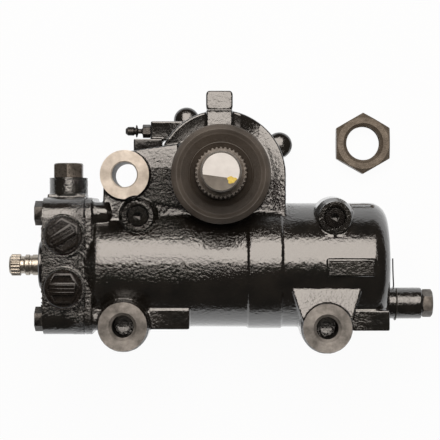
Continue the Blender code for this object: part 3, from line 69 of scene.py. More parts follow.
CASE = "gearbox_case"
SEAT = 0.0003
REACH = 0.300
ON_AXIS = 1e-6
replaced = set()


def node_box(name):
    """A CAD node's corners, measured from the output shaft's axis."""
    low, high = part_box(name)
    return low - SHAFT, high - SHAFT


def opening_centre(name):
    low, high = OPENINGS[name]
    return ((low[0] + high[0]) / 2 - SHAFT.x, (low[1] + high[1]) / 2 - SHAFT.y)


HOUSING_LOW, HOUSING_HIGH = node_box("housing")
VALVE_LOW, VALVE_HIGH = node_box("valve_housing")
COVER_LOW, COVER_HIGH = node_box("valve_end_cover")
THROUGH_BOSS = opening_centre("through_bolt_hole")
LOWER_BOSSES = (opening_centre("lower_left_bolt_hole"), opening_centre("lower_right_bolt_hole"))

# Casting
CYLINDER_R = 0.0650
CREST_Z = PISTON_Z + CYLINDER_R
BORE_R = 0.0502
HOUSING_LEFT = -0.1390
HOUSING_RIGHT = 0.1725
NECK_R = 0.0480
CHAMBER_R = 0.0665
CHAMBER_TOP = 0.1265
CAVITY_R = 0.0604
CAVITY_TOP = 0.1175
JOINT_Z = 0.0200
LOBE_CIRCLE_R = 0.0720
LOBE_R = 0.0140
LOBE_ANGLES = (29, 121, 211, 301)
BOSS_R = 0.0246
BOSS_BACK_Z = 0.0985
BOSS_HOLE_R = 0.0112
BLIND_DEPTH = 0.0450
THROUGH_HOLE_R = 0.0125
MOUNTING_HOLES = ((THROUGH_BOSS, THROUGH_HOLE_R), *((place, BOSS_HOLE_R) for place in LOWER_BOSSES))
PLUG_BOSSES = ((-0.0843, -0.0420, 0.0157, 0.1475), (0.1155, -0.0435, 0.0163, 0.1445))
BORE_PLUG_R = 0.0105
LIMITER_Y = -0.1330
LIMITER = (LIMITER_Y, PISTON_Z)
LIMITER_BOSS_R = 0.0163
LIMITER_BOSS_END = 0.2095
PADS = ((-0.0531, -0.1471, 0.0420), (0.1531, -0.1484, 0.0373))
PAD_HEIGHT = 0.0205
PAD_FRONT_Z = 0.1360
PAD_BACK_Z = 0.0747
LUG_X = -0.0016
LUG_Z = 0.1183
LUG_WIDTH = 0.0273
LUG_TOP = 0.0858
LUG_SPLIT_Y = 0.0663
LUG_GROOVE = 0.0012
BLEED_Y = 0.0480
BLEED_Z = 0.0700
BLEED = (BLEED_Y, BLEED_Z)
BLEED_BLOCK_LEFT = -0.0740
REST_PADS = (-0.060, 0.130)
REST_PAD_SIZE = 0.030
MARK_PAD = (0.047, 0.017)
MARK_PAD_AT = (0.131, PISTON_Y - 0.001)
BAND = (0.028, 0.062)
BAND_R = CYLINDER_R + 0.0012
BOLT_HOLE_R = 0.0063
BOLT_R = 0.0060
STEM_HOLE_R = 0.0083
STEM_R = 0.0080

# Valve end
VALVE_HALF_Y = 0.0700
VALVE_HALF_Z = 0.0560
VALVE_BOLT_Y = 0.0540
VALVE_BOLT_Z = 0.0400
PORT_X = -0.1590
PORT_YS = (PISTON_Y + 0.0315, PISTON_Y - 0.0220)
PORT_TURNS = (radians(32), 0.0)
PORT_BOSS_R = 0.0220
PORT_PLUG_R = 0.0195
SPOT_FACE_DEPTH = 0.0008
RELIEF_X = -0.1595
RELIEF = (RELIEF_X, PISTON_Z)
RELIEF_BOSS_R = 0.0200
RELIEF_BOSS_TOP = -0.0020

# Output shaft
CAP_R = 0.0500
SPLINE_R = 0.0253
SPLINE_TEETH = 36
SPLINE_ROOT_R = 0.0236
JOURNAL_TOP = 0.1665
SPLINE_TOP = JOURNAL_TOP + 0.037
SECTOR_HALF = 0.022
THREAD_R = 0.0195
THREAD_PITCH = 0.0015
STICKER_R = 0.0175
DOT_AT = (0.0100, -0.0080)

# Hexagons, across their flats
BOLT_FLATS = 0.022
RELIEF_FLATS = 0.029
PORT_PLUG_FLATS = 0.031
PORT_WELL_FLATS = 0.0265
BORE_PLUG_FLATS = 0.0080
LIMITER_FLATS = 0.0255
BLEED_FLATS = 0.0125

CASTING_VOXEL = 0.0010


# Mesh tools

def linked(name, data):
    """A new object in the scene."""
    obj = bpy.data.objects.new(name, data)
    bpy.context.scene.collection.objects.link(obj)
    return obj


def smooth_by_angle(obj, angle):
    obj.data.shade_smooth()
    obj.data.set_sharp_from_angle(angle=radians(angle))


def as_rough_object(name, build):
    mesh = bpy.data.meshes.new(name)
    build.to_mesh(mesh)
    build.free()
    return linked(name, mesh)


def as_object(name, build, smooth_angle=35):
    """Turns a bmesh into an object with smooth faces and sharp edges."""
    bmesh.ops.recalc_face_normals(build, faces=build.faces)
    obj = as_rough_object(name, build)
    smooth_by_angle(obj, smooth_angle)
    return obj


def placed(axis, place, a, b):
    """A point from its place along an axis and its two other coordinates, in the frame."""
    point = {"X": (place, a, b), "Y": (a, place, b), "Z": (a, b, place)}[axis]
    return Vector(point) + SHAFT


def lathe(name, profile, axis="Z", at=(0, 0), steps=96, loop=False):
    """A turned shape from (place, radius) pairs, closed to the axis at both ends. A loop is a hollow ring."""
    if not loop:
        first, last = profile[0], profile[-1]
        profile = [(first[0], 0)] * (first[1] > ON_AXIS) + profile + [(last[0], 0)] * (last[1] > ON_AXIS)
    build = bmesh.new()
    rows = []
    for place, radius in profile:
        row = []
        for i in range(steps if radius > ON_AXIS else 1):
            angle = 2 * pi * i / steps
            point = placed(axis, place, at[0] + radius * cos(angle), at[1] + radius * sin(angle))
            row.append(build.verts.new(point))
        rows.append(row)
    followers = rows[1:] + rows[:1] if loop else rows[1:]
    for low, high in zip(rows, followers):
        for i in range(steps):
            j = (i + 1) % steps
            corners = (low[i % len(low)], low[j % len(low)], high[j % len(high)], high[i % len(high)])
            corners = tuple(dict.fromkeys(corners))
            if len(corners) > 2:
                build.faces.new(corners)
    return as_object(name, build)


def after(start, profile):
    """Moves a profile so that it is measured from a place."""
    return [(start + place, radius) for place, radius in profile]


def rod(name, radius, start, end, axis="Z", at=(0, 0), steps=96, edge=0.0006):
    profile = [(start, radius - edge), (start + edge, radius), (end - edge, radius), (end, radius - edge)]
    return lathe(name, profile, axis, at, steps)


def block(name, outline, low, high, axis="Z", at=(0, 0), edge=0.0, segments=2):
    """An outline made thick along an axis, with all its edges rounded when edge is given."""
    build = bmesh.new()
    face = build.faces.new([build.verts.new(placed(axis, low, at[0] + a, at[1] + b)) for a, b in outline])
    grown = bmesh.ops.extrude_face_region(build, geom=[face])["geom"]
    moved = [item for item in grown if isinstance(item, bmesh.types.BMVert)]
    bmesh.ops.translate(build, verts=moved, vec=placed(axis, high - low, 0, 0) - SHAFT)
    bmesh.ops.recalc_face_normals(build, faces=build.faces)
    if edge:
        sharp = [e for e in build.edges if e.calc_face_angle(0) > radians(40)]
        bmesh.ops.bevel(build, geom=sharp, offset=edge, segments=segments, profile=0.5, affect="EDGES")
    return as_object(name, build, 30)


def arc(radius, start, end, steps, center=(0, 0)):
    """Points round a centre, from one angle to another."""
    angles = [start + (end - start) * i / steps for i in range(steps + 1)]
    return [(center[0] + radius * cos(a), center[1] + radius * sin(a)) for a in angles]


def rectangle(width, height, corner=0.0, steps=6, center=(0, 0)):
    x, y = width / 2, height / 2
    if not corner:
        return [(center[0] + a, center[1] + b) for a, b in ((-x, -y), (x, -y), (x, y), (-x, y))]
    points = []
    for quarter, (sx, sy) in enumerate(((-1, -1), (1, -1), (1, 1), (-1, 1))):
        start = pi + pi / 2 * quarter
        middle = (center[0] + sx * (x - corner), center[1] + sy * (y - corner))
        points += arc(corner, start, start + pi / 2, steps, middle)
    return points


def polygon(sides, across_flats, turn=0.0):
    radius = across_flats / 2 / cos(pi / sides)
    angles = [turn + 2 * pi * i / sides for i in range(sides)]
    return [(radius * cos(a), radius * sin(a)) for a in angles]


def slab(name, width, height, center, low, high, axis="Z"):
    """A plain box between two places along an axis."""
    return block(name, rectangle(width, height, center=center), low, high, axis)


def belt(first, first_r, second, second_r, steps=16):
    """The outline of a belt round two circles."""
    gap = Vector(second) - Vector(first)
    heading = atan2(gap.y, gap.x)
    lean = acos((first_r - second_r) / gap.length)
    far = arc(second_r, heading - lean, heading + lean, steps, second)
    return far + arc(first_r, heading + lean, heading + 2 * pi - lean, steps, first)


def loft(name, sections):
    """A closed shape through outlines of equal length, each a list of points in the frame's axes."""
    build = bmesh.new()
    rows = [[build.verts.new(Vector(point) + SHAFT) for point in section] for section in sections]
    for low, high in zip(rows, rows[1:]):
        for i in range(len(low)):
            j = (i + 1) % len(low)
            build.faces.new((low[i], low[j], high[j], high[i]))
    build.faces.new(rows[0])
    build.faces.new(rows[-1])
    return as_object(name, build)


def evaluated(obj):
    """A new mesh with the object's shape after its modifiers."""
    return bpy.data.meshes.new_from_object(obj.evaluated_get(bpy.context.evaluated_depsgraph_get()))


def applied(obj):
    """Makes the result of the modifiers the object's own mesh."""
    mesh = evaluated(obj)
    obj.modifiers.clear()
    obj.data = mesh
    return obj


def joined(name, shapes):
    """One object that holds all the shapes' faces."""
    build = bmesh.new()
    for shape in shapes:
        build.from_mesh(shape.data)
        bpy.data.objects.remove(shape)
    return as_rough_object(name, build)


def melted(name, shapes, voxel=CASTING_VOXEL, rounds=6):
    """Overlapping shapes cast in one, with soft corners."""
    body = joined(name, shapes)
    remesh = body.modifiers.new("melt", "REMESH")
    remesh.mode = "VOXEL"
    remesh.voxel_size = voxel
    soften = body.modifiers.new("soften", "SMOOTH")
    soften.iterations = rounds
    soften.factor = 0.5
    return applied(body)


def combined(body, others, operation):
    for other in others:
        modifier = body.modifiers.new(other.name, "BOOLEAN")
        modifier.operation = operation
        modifier.solver = "MANIFOLD"
        modifier.object = other
    applied(body)
    for other in others:
        bpy.data.objects.remove(other)
    return body


def carve(body, cutters, operation="DIFFERENCE"):
    """Cuts crisp machined shapes into a body, or adds them to it, all at once."""
    tool = combined(cutters[0], cutters[1:], "UNION") if len(cutters) > 1 else cutters[0]
    return combined(body, [tool], operation)


# Materials

def feed(tree, socket, value):
    """Links another node's output to a socket, or sets the socket's value."""
    if isinstance(value, bpy.types.NodeSocket):
        tree.links.new(value, socket)
    else:
        socket.default_value = value


def add_node(tree, kind, inputs=(), **settings):
    """A shader node with its settings, and with its inputs fed."""
    made = tree.nodes.new(kind)
    for key, value in settings.items():
        setattr(made, key, value)
    for key, value in inputs:
        feed(tree, made.inputs[key], value)
    return made


def node_material(name):
    """A new material, its node tree and its Principled shader."""
    material = bpy.data.materials.new(name)
    material.use_nodes = True
    return material, material.node_tree, material.node_tree.nodes["Principled BSDF"]


class Paint:
    """Builds one Principled material node by node."""

    def __init__(self, name, color, roughness, metallic=0.0):
        self.material, self.tree, self.shader = node_material(name)
        self.set("Base Color", (*color, 1))
        self.set("Roughness", roughness)
        self.set("Metallic", metallic)
        self.coordinates = self.output("ShaderNodeTexCoord", "Object")
        self.normal = None

    def set(self, socket, value):
        feed(self.tree, self.shader.inputs[socket], value)

    def output(self, kind, output, inputs=(), **settings):
        return add_node(self.tree, kind, inputs, **settings).outputs[output]

    def noise(self, scale, detail, rough=0.55):
        inputs = (("Scale", scale), ("Detail", detail), ("Roughness", rough), ("Vector", self.coordinates))
        return self.output("ShaderNodeTexNoise", "Fac", inputs)

    def rings(self, centre, axis, scale):
        """Turning marks round an axis through the centre."""
        inputs = (("Location", [-c for c in centre]), ("Vector", self.coordinates))
        place = self.output("ShaderNodeMapping", "Vector", inputs)
        inputs = (("Scale", scale), ("Distortion", 0.6), ("Detail", 2.0), ("Vector", place))
        return self.output("ShaderNodeTexWave", "Fac", inputs, wave_type="RINGS", rings_direction=axis)

    def ramp(self, source, *stops):
        """Maps a value through two (position, colour) stops."""
        made = add_node(self.tree, "ShaderNodeValToRGB", (("Fac", source),))
        for element, (position, color) in zip(made.color_ramp.elements, stops):
            element.position = position
            element.color = (*color, 1) if isinstance(color, tuple) else (color, color, color, 1)
        return made.outputs["Color"]

    def color(self, source, low, high):
        self.set("Base Color", self.ramp(source, low, high))

    def roughness(self, source, low, high):
        self.set("Roughness", self.ramp(source, (0.3, low), (0.7, high)))

    def bump(self, height, distance, strength):
        """Adds a bump, whose strength is a number or an output."""
        inputs = [("Distance", distance), ("Strength", strength), ("Height", height)]
        if self.normal:
            inputs.append(("Normal", self.normal))
        self.normal = self.output("ShaderNodeBump", "Normal", inputs)
        self.set("Normal", self.normal)

    def attribute(self, name):
        return self.output("ShaderNodeAttribute", "Fac", attribute_name=name)

    def gloss(self, ior):
        for socket, value in (("IOR", ior), ("Coat Weight", 0.7), ("Coat Roughness", 0.06),
                              ("Coat IOR", 1.6)):
            self.set(socket, value)


def tinted(name, low, high, color_noise, rough_noise, roughness, bumps=(), metallic=0.0, spread=(0.3, 0.7)):
    """A paint whose colour and roughness follow noises, with bumps of (noise, distance, strength)."""
    paint = Paint(name, high, sum(roughness) / 2, metallic)
    paint.color(paint.noise(*color_noise), (spread[0], low), (spread[1], high))
    paint.roughness(paint.noise(*rough_noise), *roughness)
    for values, distance, strength in bumps:
        paint.bump(paint.noise(*values), distance, strength)
    return paint


def cast_paint(name, grain=1.0):
    """Thick glossy black paint over a sand casting, rougher where the mesh's roughness attribute is high."""
    paint = tinted(name, (0.006, 0.005, 0.004), (0.018, 0.015, 0.012), (45, 4), (260, 3), (0.08, 0.20),
                   (((70, 2), 0.0008 * grain, 0.6),))
    paint.gloss(1.75)
    paint.bump(paint.noise(400, 2, 0.6), 0.0022 * grain, paint.attribute("cast_roughness"))
    return paint.material


def smooth_paint(name):
    paint = tinted(name, (0.007, 0.006, 0.006), (0.020, 0.018, 0.016), (60, 4), (300, 3), (0.08, 0.20),
                   (((180, 3), 0.0005, 0.6),))
    paint.gloss(1.62)
    return paint.material


def machined(name, low, high, centre, ring_scale=700):
    """A turned metal face with fine rings and faint stains."""
    paint = tinted(name, low, high, (90, 5, 0.6), (400, 3), (0.32, 0.5), metallic=0.35)
    paint.bump(paint.rings(Vector(centre) + SHAFT, "Z", ring_scale), 0.00012, 0.5)
    paint.bump(paint.noise(1200, 2), 0.0001, 0.5)
    return paint.material


def steel(name, low, high, roughness=(0.3, 0.5), metallic=0.9, depth=0.00025):
    return tinted(name, low, high, (160, 5, 0.65), (480, 3), roughness, (((960, 3), depth, 0.5),), metallic,
                  (0.32, 0.68)).material


def dull(name, low, high, roughness=(0.5, 0.7)):
    return tinted(name, low, high, (120, 4), (480, 3), roughness, (((960, 3), 0.0002, 0.5),)).material


def set_material(obj, material):
    obj.data.materials.clear()
    obj.data.materials.append(material)


def piece(obj, material, body, node=None, angle=None):
    """Gives a piece its material, its body, the CAD node it stands for and its smooth faces."""
    if angle:
        smooth_by_angle(obj, angle)
    if material:
        set_material(obj, material)
    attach(obj, body)
    if node:
        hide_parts(node)
        replaced.add(node)


# Housing

def cylinder_shape():
    round_r = 0.018
    start = HOUSING_RIGHT - round_r
    profile = [(HOUSING_LEFT, CYLINDER_R - 0.010), (HOUSING_LEFT + 0.012, CYLINDER_R - 0.001),
               (start, CYLINDER_R)]
    for step in range(1, 13):
        angle = pi / 2 * step / 12
        profile.append((start + round_r * sin(angle), CYLINDER_R - round_r + round_r * cos(angle)))
    return lathe("cylinder", profile, "X", PISTON, 160)


def chamber_outline(radius):
    return arc(radius, 0, pi, 48) + [(-radius, PISTON_Y + 0.020), (radius, PISTON_Y + 0.020)]


def valve_outline(margin=0.0):
    return rectangle(2 * (VALVE_HALF_Y - margin), 2 * (VALVE_HALF_Z - margin), 0.020 - margin, 10)


def valve_bolt_places():
    return [(PISTON_Y + sy * VALVE_BOLT_Y, PISTON_Z + sz * VALVE_BOLT_Z) for sy in (1, -1) for sz in (1, -1)]


def lobe_places():
    angles = [radians(angle) for angle in LOBE_ANGLES]
    return [(LOBE_CIRCLE_R * cos(a), LOBE_CIRCLE_R * sin(a)) for a in angles]


def ramp_shape():
    """The wedge that rises from the cylinder to the right lower boss."""
    x, y = LOWER_BOSSES[1]
    low, start, end = 0.110, PISTON_Y - 0.020, y + 0.008
    sections = []
    for place, half, high in ((start, 0.0360, 0.1470), (end, 0.0250, 0.1565), (end - 0.010, 0.0225, 0.1575)):
        sections.append([(x - half, place, low), (x + half, place, low), (x + half, place, high),
                         (x - half, place, high)])
    return loft("ramp", sections)


def chamber_shape():
    """The sector chamber, whose front is dished inside a thin rim."""
    sections = []
    for radius, z in ((CHAMBER_R, JOINT_Z + 0.002), (CHAMBER_R, CHAMBER_TOP - 0.0012),
                      (CHAMBER_R - 0.0012, CHAMBER_TOP), (CHAMBER_R - 0.0030, CHAMBER_TOP - 0.0004),
                      (NECK_R + 0.004, CHAMBER_TOP - 0.0024)):
        sections.append([(x, y, z) for x, y in chamber_outline(radius)])
    return loft("chamber_wall", sections)


def sloped(shape, above, slope, level_y):
    """Leans the part of a shape over a height, so that it rises towards +Y."""
    for vertex in shape.data.vertices:
        if vertex.co.z > above:
            vertex.co.z += slope * (vertex.co.y - SHAFT.y - level_y)
    return shape


def lobe_shape(place):
    """A lobe for a cover bolt, with a domed end."""
    top, dome = JOINT_Z + 0.0260, 0.0080
    profile = [(JOINT_Z, LOBE_R)]
    for step in range(9):
        angle = pi / 2 * step / 8
        profile.append((top - dome + dome * sin(angle), LOBE_R * cos(angle)))
    return lathe("cover_lobe", profile, at=place)


def housing_shapes():
    shapes = [
        cylinder_shape(),
        block("flange", valve_outline(), HOUSING_LEFT, HOUSING_LEFT + 0.008, "X", PISTON),
        chamber_shape(),
        rod("chamber_flange", 0.070, JOINT_Z, 0.036),
        lathe("neck", [(CHAMBER_TOP - 0.012, 0.0540), (CHAMBER_TOP - 0.005, 0.0515), (CHAMBER_TOP, 0.0490),
                       (CHAMBER_TOP + 0.006, NECK_R), (FACE_Z + 0.003, NECK_R)]),
        ramp_shape(),
    ]
    column = [(HOUSING_LEFT + 0.001, 0.0125), (-0.115, 0.011), (-0.110, 0)]
    shapes += [lathe("flange_column", column, "X", place, 32) for place in valve_bolt_places()]
    shapes += [lobe_shape(place) for place in lobe_places()]
    x, y = THROUGH_BOSS
    web = belt((x, y), BOSS_R - 0.001, (0, 0), NECK_R - 0.010)
    rib = belt((x, y), BOSS_R - 0.0015, (x - 0.002, PISTON_Y + 0.030), 0.022)
    shapes += [
        rod("through_boss", BOSS_R, BOSS_BACK_Z, FACE_Z + 0.003, at=(x, y)),
        sloped(block("boss_web", web, 0.1065, 0.1360), 0.12, 0.14, 0.010),
        block("boss_rib", rib, 0.1025, 0.1305),
        sloped(slab("boss_stay", 0.030, 0.016, (x + 0.020, 0.031), 0.0585, 0.0865), 0.08, 0.25, 0.031),
    ]
    for place in LOWER_BOSSES:
        shapes.append(rod("lower_boss", BOSS_R, BOSS_BACK_Z, FACE_Z + 0.003, at=place))
        shapes.append(rod("lower_boss_cast", BOSS_R + 0.0018, BOSS_BACK_Z - 0.012, FACE_Z - 0.010, at=place))
    for x, y, radius, top in PLUG_BOSSES:
        profile = [(PISTON_Z + 0.008, radius + 0.006), (top - 0.020, radius + 0.004), (top - 0.010, radius),
                   (top + 0.002, radius)]
        shapes.append(lathe("plug_boss", profile, at=(x, y)))
    shapes.append(rod("limiter_boss", LIMITER_BOSS_R, 0.150, LIMITER_BOSS_END, "X", LIMITER))
    for x, y, width in PADS:
        shapes.append(slab("cast_pad", width, PAD_HEIGHT, (x, y), PAD_BACK_Z, PAD_FRONT_Z))
    low_half = LUG_WIDTH / 2 - 0.0006
    shapes += [
        slab("lug_lower", 2 * low_half, 0.036, (LUG_X, LUG_SPLIT_Y - 0.018), LUG_Z - low_half,
             LUG_Z + low_half),
        block("lug_upper",
              rectangle(LUG_WIDTH, LUG_TOP - LUG_SPLIT_Y, 0.0035, 4, (LUG_X, (LUG_TOP + LUG_SPLIT_Y) / 2)),
              LUG_Z - LUG_WIDTH / 2, LUG_Z + LUG_WIDTH / 2),
        slab("mark_pad", *MARK_PAD, MARK_PAD_AT, CREST_Z - 0.017, CREST_Z + 0.0010),
        sloped(slab("bleed_block", 0.034, 0.020, (BLEED_BLOCK_LEFT + 0.017, BLEED_Y), BLEED_Z - 0.012,
                    BLEED_Z + 0.010), BLEED_Z, 0.18, BLEED_Y),
        lathe("band", [(BAND[0], 0.050), (BAND[0], BAND_R), (BAND[1], BAND_R), (BAND[1], 0.050)], "X", PISTON,
              160, True),
    ]
    for x in REST_PADS:
        shapes.append(slab("rest_pad", REST_PAD_SIZE, REST_PAD_SIZE, (x, PISTON_Y), -0.002, PISTON_Z / 2))
    return shapes


def hole(name, radius, bottom, top, at, chamfer=0.0, drill=0.0, axis="Z", steps=64):
    """A cutter for a round hole from bottom up through top, with a chamfer at its mouth and a drill's tip."""
    profile = [(bottom, radius), (top + 0.001, radius)]
    if chamfer:
        profile[1:] = [(top - chamfer, radius), (top + 0.001, radius + chamfer + 0.001)]
    if drill:
        profile.insert(0, (bottom - drill, 0))
    return lathe(name, profile, axis, at, steps)


def housing_cutters():
    cutters = [
        rod("bore", BORE_R, HOUSING_LEFT - 0.010, 0.165, "X", PISTON, 128),
        rod("cavity", CAVITY_R, JOINT_Z - 0.010, CAVITY_TOP, steps=128),
        rod("bearing_seat", 0.0323, CAVITY_TOP - 0.002, 0.1478),
        rod("seal_seat", 0.0305, 0.1465, FACE_Z + 0.004),
        slab("face_plane", 2 * REACH, REACH, (0, -0.08), FACE_Z, FACE_Z + 0.020),
        block("floor_plane", rectangle(REACH * 2, REACH * 2), -0.020, 0),
        slab("flange_plane", REACH, REACH, PISTON, HOUSING_LEFT - 0.020, HOUSING_LEFT, "X"),
        slab("joint_plane", 0.190, 0.125, (0, 0.022), 0.001, JOINT_Z),
        hole("through_hole", THROUGH_HOLE_R, BOSS_BACK_Z - 0.01, FACE_Z, THROUGH_BOSS, 0.0012),
        hole("limiter_hole", STEM_HOLE_R, 0.159, LIMITER_BOSS_END, LIMITER, axis="X"),
        hole("bleed_hole", 0.0043, BLEED_BLOCK_LEFT - 0.005, BLEED_BLOCK_LEFT + 0.012, BLEED, axis="X"),
        slab("lug_groove_front", 0.040, LUG_GROOVE, (LUG_X, LUG_SPLIT_Y), LUG_Z + LUG_WIDTH / 2 - 0.0022,
             LUG_Z + 0.020),
    ]
    for side in (1, -1):
        x = LUG_X + side * (LUG_WIDTH / 2 + 0.003)
        cutters.append(slab("lug_groove", 0.010, LUG_GROOVE, (x, LUG_SPLIT_Y), LUG_Z - 0.020, LUG_Z + 0.020))
    field = rectangle(MARK_PAD[0] - 0.0030, MARK_PAD[1] - 0.0030, center=MARK_PAD_AT)
    cutters.append(block("mark_field", field, CREST_Z, CREST_Z + 0.002))
    for place in LOWER_BOSSES:
        cutters.append(hole("blind_hole", BOSS_HOLE_R, FACE_Z - BLIND_DEPTH, FACE_Z, place, 0.003, 0.004))
    for x, y, radius, top in PLUG_BOSSES:
        cutters.append(hole("plug_hole", BORE_PLUG_R + SEAT, top - 0.0143, top, (x, y), 0.001))
        face = rod("plug_face", radius + 0.005, top, top + 0.010, at=(x, y), edge=0.0001)
        cutters.append(sloped(face, 0, 0.06, y))
    cutters += [hole("cover_bolt_hole", BOLT_HOLE_R, JOINT_Z - 0.005, JOINT_Z + 0.021, place, steps=32)
                for place in lobe_places()]
    cutters += [hole("valve_bolt_hole", BOLT_HOLE_R, HOUSING_LEFT - 0.005, -0.118, place, axis="X", steps=32)
                for place in valve_bolt_places()]
    return cutters


def vectors(items, field):
    """A field of a mesh's vertices or faces, one row each."""
    values = np.empty(len(items) * 3, np.float32)
    items.foreach_get(field, values)
    return values.reshape(-1, 3)


def move_points(mesh, points):
    mesh.vertices.foreach_set("co", points.ravel())
    mesh.update()


def roughness_at(points, base, zones):
    """How rough the casting is at each point: base, and more inside (centre, radius, gain) zones."""
    value = np.full(len(points), base, np.float32)
    for centre, radius, gain in zones:
        away = np.linalg.norm((points - np.array(SHAFT) - np.array(centre)) / np.array(radius), axis=1)
        value += gain * np.clip(1.5 - away, 0, 1)
    return np.clip(value, 0, 1.2).astype(np.float32)


def mark_roughness(obj, base, zones):
    made = obj.data.attributes.new("cast_roughness", "FLOAT", "POINT")
    made.data.foreach_set("value", roughness_at(vectors(obj.data.vertices, "co"), base, zones))


def leaned(obj, x_range, y_range, z_range, slope, ramp):
    """Lets the upper part of a casting's ledge fall away towards +Y, less near its ends along X."""
    points = vectors(obj.data.vertices, "co")
    x, y, z = (points - np.array(SHAFT)).T
    rise = np.clip((z - z_range[0]) / (z_range[1] - z_range[0]), 0, 1) * (z < z_range[1] + 0.003)
    fade = np.clip((y_range[1] + 0.005 - y) / 0.005, 0, 1)
    fade *= np.clip((x - x_range[0]) / ramp, 0, 1) * np.clip((x_range[1] - x) / ramp, 0, 1)
    points[:, 2] -= slope * np.clip(y - y_range[0], 0, y_range[1] - y_range[0]) * rise * fade
    move_points(obj.data, points)


def grained(obj, base, zones, depth=0.00036, grain=0.0020):
    """Moves the surface in and out like a sand casting, most where it is rough."""
    points = vectors(obj.data.vertices, "co")
    height = [noise.noise(Vector(p) / grain) + 0.5 * noise.noise(Vector(p) / grain * 0.4)
              for p in points.tolist()]
    shift = np.array(height, np.float32) * roughness_at(points, base, zones) * depth
    points += vectors(obj.data.vertices, "normal") * shift[:, None]
    move_points(obj.data, points)


def finish_faces(obj, material, *finishes):
    """Gives an object a material, and the faces that pass a test the material that comes with it."""
    mesh = obj.data
    set_material(obj, material)
    centres = vectors(mesh.polygons, "center") - np.array(SHAFT)
    normals = vectors(mesh.polygons, "normal")
    slots = np.zeros(len(centres), np.int32)
    for index, (finish, test) in enumerate(finishes, 1):
        mesh.materials.append(finish)
        slots[test(centres, normals)] = index
    mesh.polygons.foreach_set("material_index", slots)
    mesh.update()


def near(centres, place, radius):
    return np.hypot(centres[:, 0] - place[0], centres[:, 1] - place[1]) < radius


def on_face(place):
    """A test for a mounting boss's machined face and its hole's chamfer."""
    return lambda centres, normals: (near(centres, place, BOSS_R + 0.002) & (centres[:, 2] > FACE_Z - 0.0032)
                                     & ((normals[:, 2] > 0.9) | near(centres, place, 0.0158)))


def on_hole_wall(centres, normals):
    """The upper walls of the three mounting holes, where a darkened steel paints the shade inside the holes."""
    beside = np.any([near(centres, place, radius + 0.0004) for place, radius in MOUNTING_HOLES], axis=0)
    return beside & (np.abs(normals[:, 2]) < 0.9) & (centres[:, 2] > 0.105)


HOUSING_GRAIN = (
    ((-0.135, PISTON_Y, PISTON_Z), (0.012, 0.09, 0.07), 0.8),
    ((-0.055, PISTON_Y - 0.006, 0.145), (0.085, 0.014, 0.03), 0.32),
    ((-0.062, -0.018, 0.130), (0.022, 0.030, 0.03), 0.75),
    ((-0.062, 0.018, 0.130), (0.030, 0.010, 0.03), 0.15),
    ((-0.070, PISTON_Y, 0.120), (0.060, 0.070, 0.05), 0.08),
    ((0.060, -0.022, 0.120), (0.016, 0.034, 0.04), 0.45),
    ((-0.020, -0.058, 0.140), (0.060, 0.010, 0.03), 0.40),
    ((*LOWER_BOSSES[0], 0.140), (0.03, 0.03, 0.03), 0.35),
    ((*LOWER_BOSSES[1], 0.140), (0.04, 0.04, 0.03), 0.35),
    ((0.190, LIMITER_Y, PISTON_Z), (0.02, 0.03, 0.03), 0.15),
    *(((x, y, PAD_FRONT_Z), (width / 2 + 0.003, 0.014, 0.02), -0.11) for x, y, width in PADS),
)


def build_housing():
    housing = melted("cast_housing", housing_shapes())
    leaned(housing, (-0.090, -0.040), (0.0068, 0.0310), (0.115, 0.136), 0.18, 0.004)
    leaned(housing, (0.020, 0.095), (-0.004, 0.0660), (0.105, 0.1262), 0.11, 0.020)
    grained(housing, 0.22, HOUSING_GRAIN)
    rim = block("mark_rim", rectangle(*MARK_PAD, center=MARK_PAD_AT), CREST_Z - 0.010, CREST_Z + 0.0011,
                edge=0.0005)
    carve(housing, [rim], "UNION")
    carve(housing, housing_cutters())
    mark_roughness(housing, 0.14, HOUSING_GRAIN)
    bosses = (
        ("boss_face_tan", (0.52, 0.46, 0.395), (0.84, 0.77, 0.69), THROUGH_BOSS),
        ("boss_face_grey_left", (0.12, 0.112, 0.103), (0.42, 0.395, 0.37), LOWER_BOSSES[0]),
        ("boss_face_grey_right", (0.15, 0.142, 0.132), (0.46, 0.435, 0.41), LOWER_BOSSES[1]),
    )
    faces = [(machined(name, low, high, (*place, FACE_Z)), on_face(place))
             for name, low, high, place in bosses]
    # Steel darkened well below the machined faces: painted shade inside the mounting holes
    bored = steel("bored_wall", (0.03, 0.027, 0.024), (0.08, 0.073, 0.065), (0.35, 0.55))
    finish_faces(housing, cast_paint("cast_black_paint"), *faces, (bored, on_hole_wall))
    piece(housing, None, CASE, "housing", 38)


# Valve end

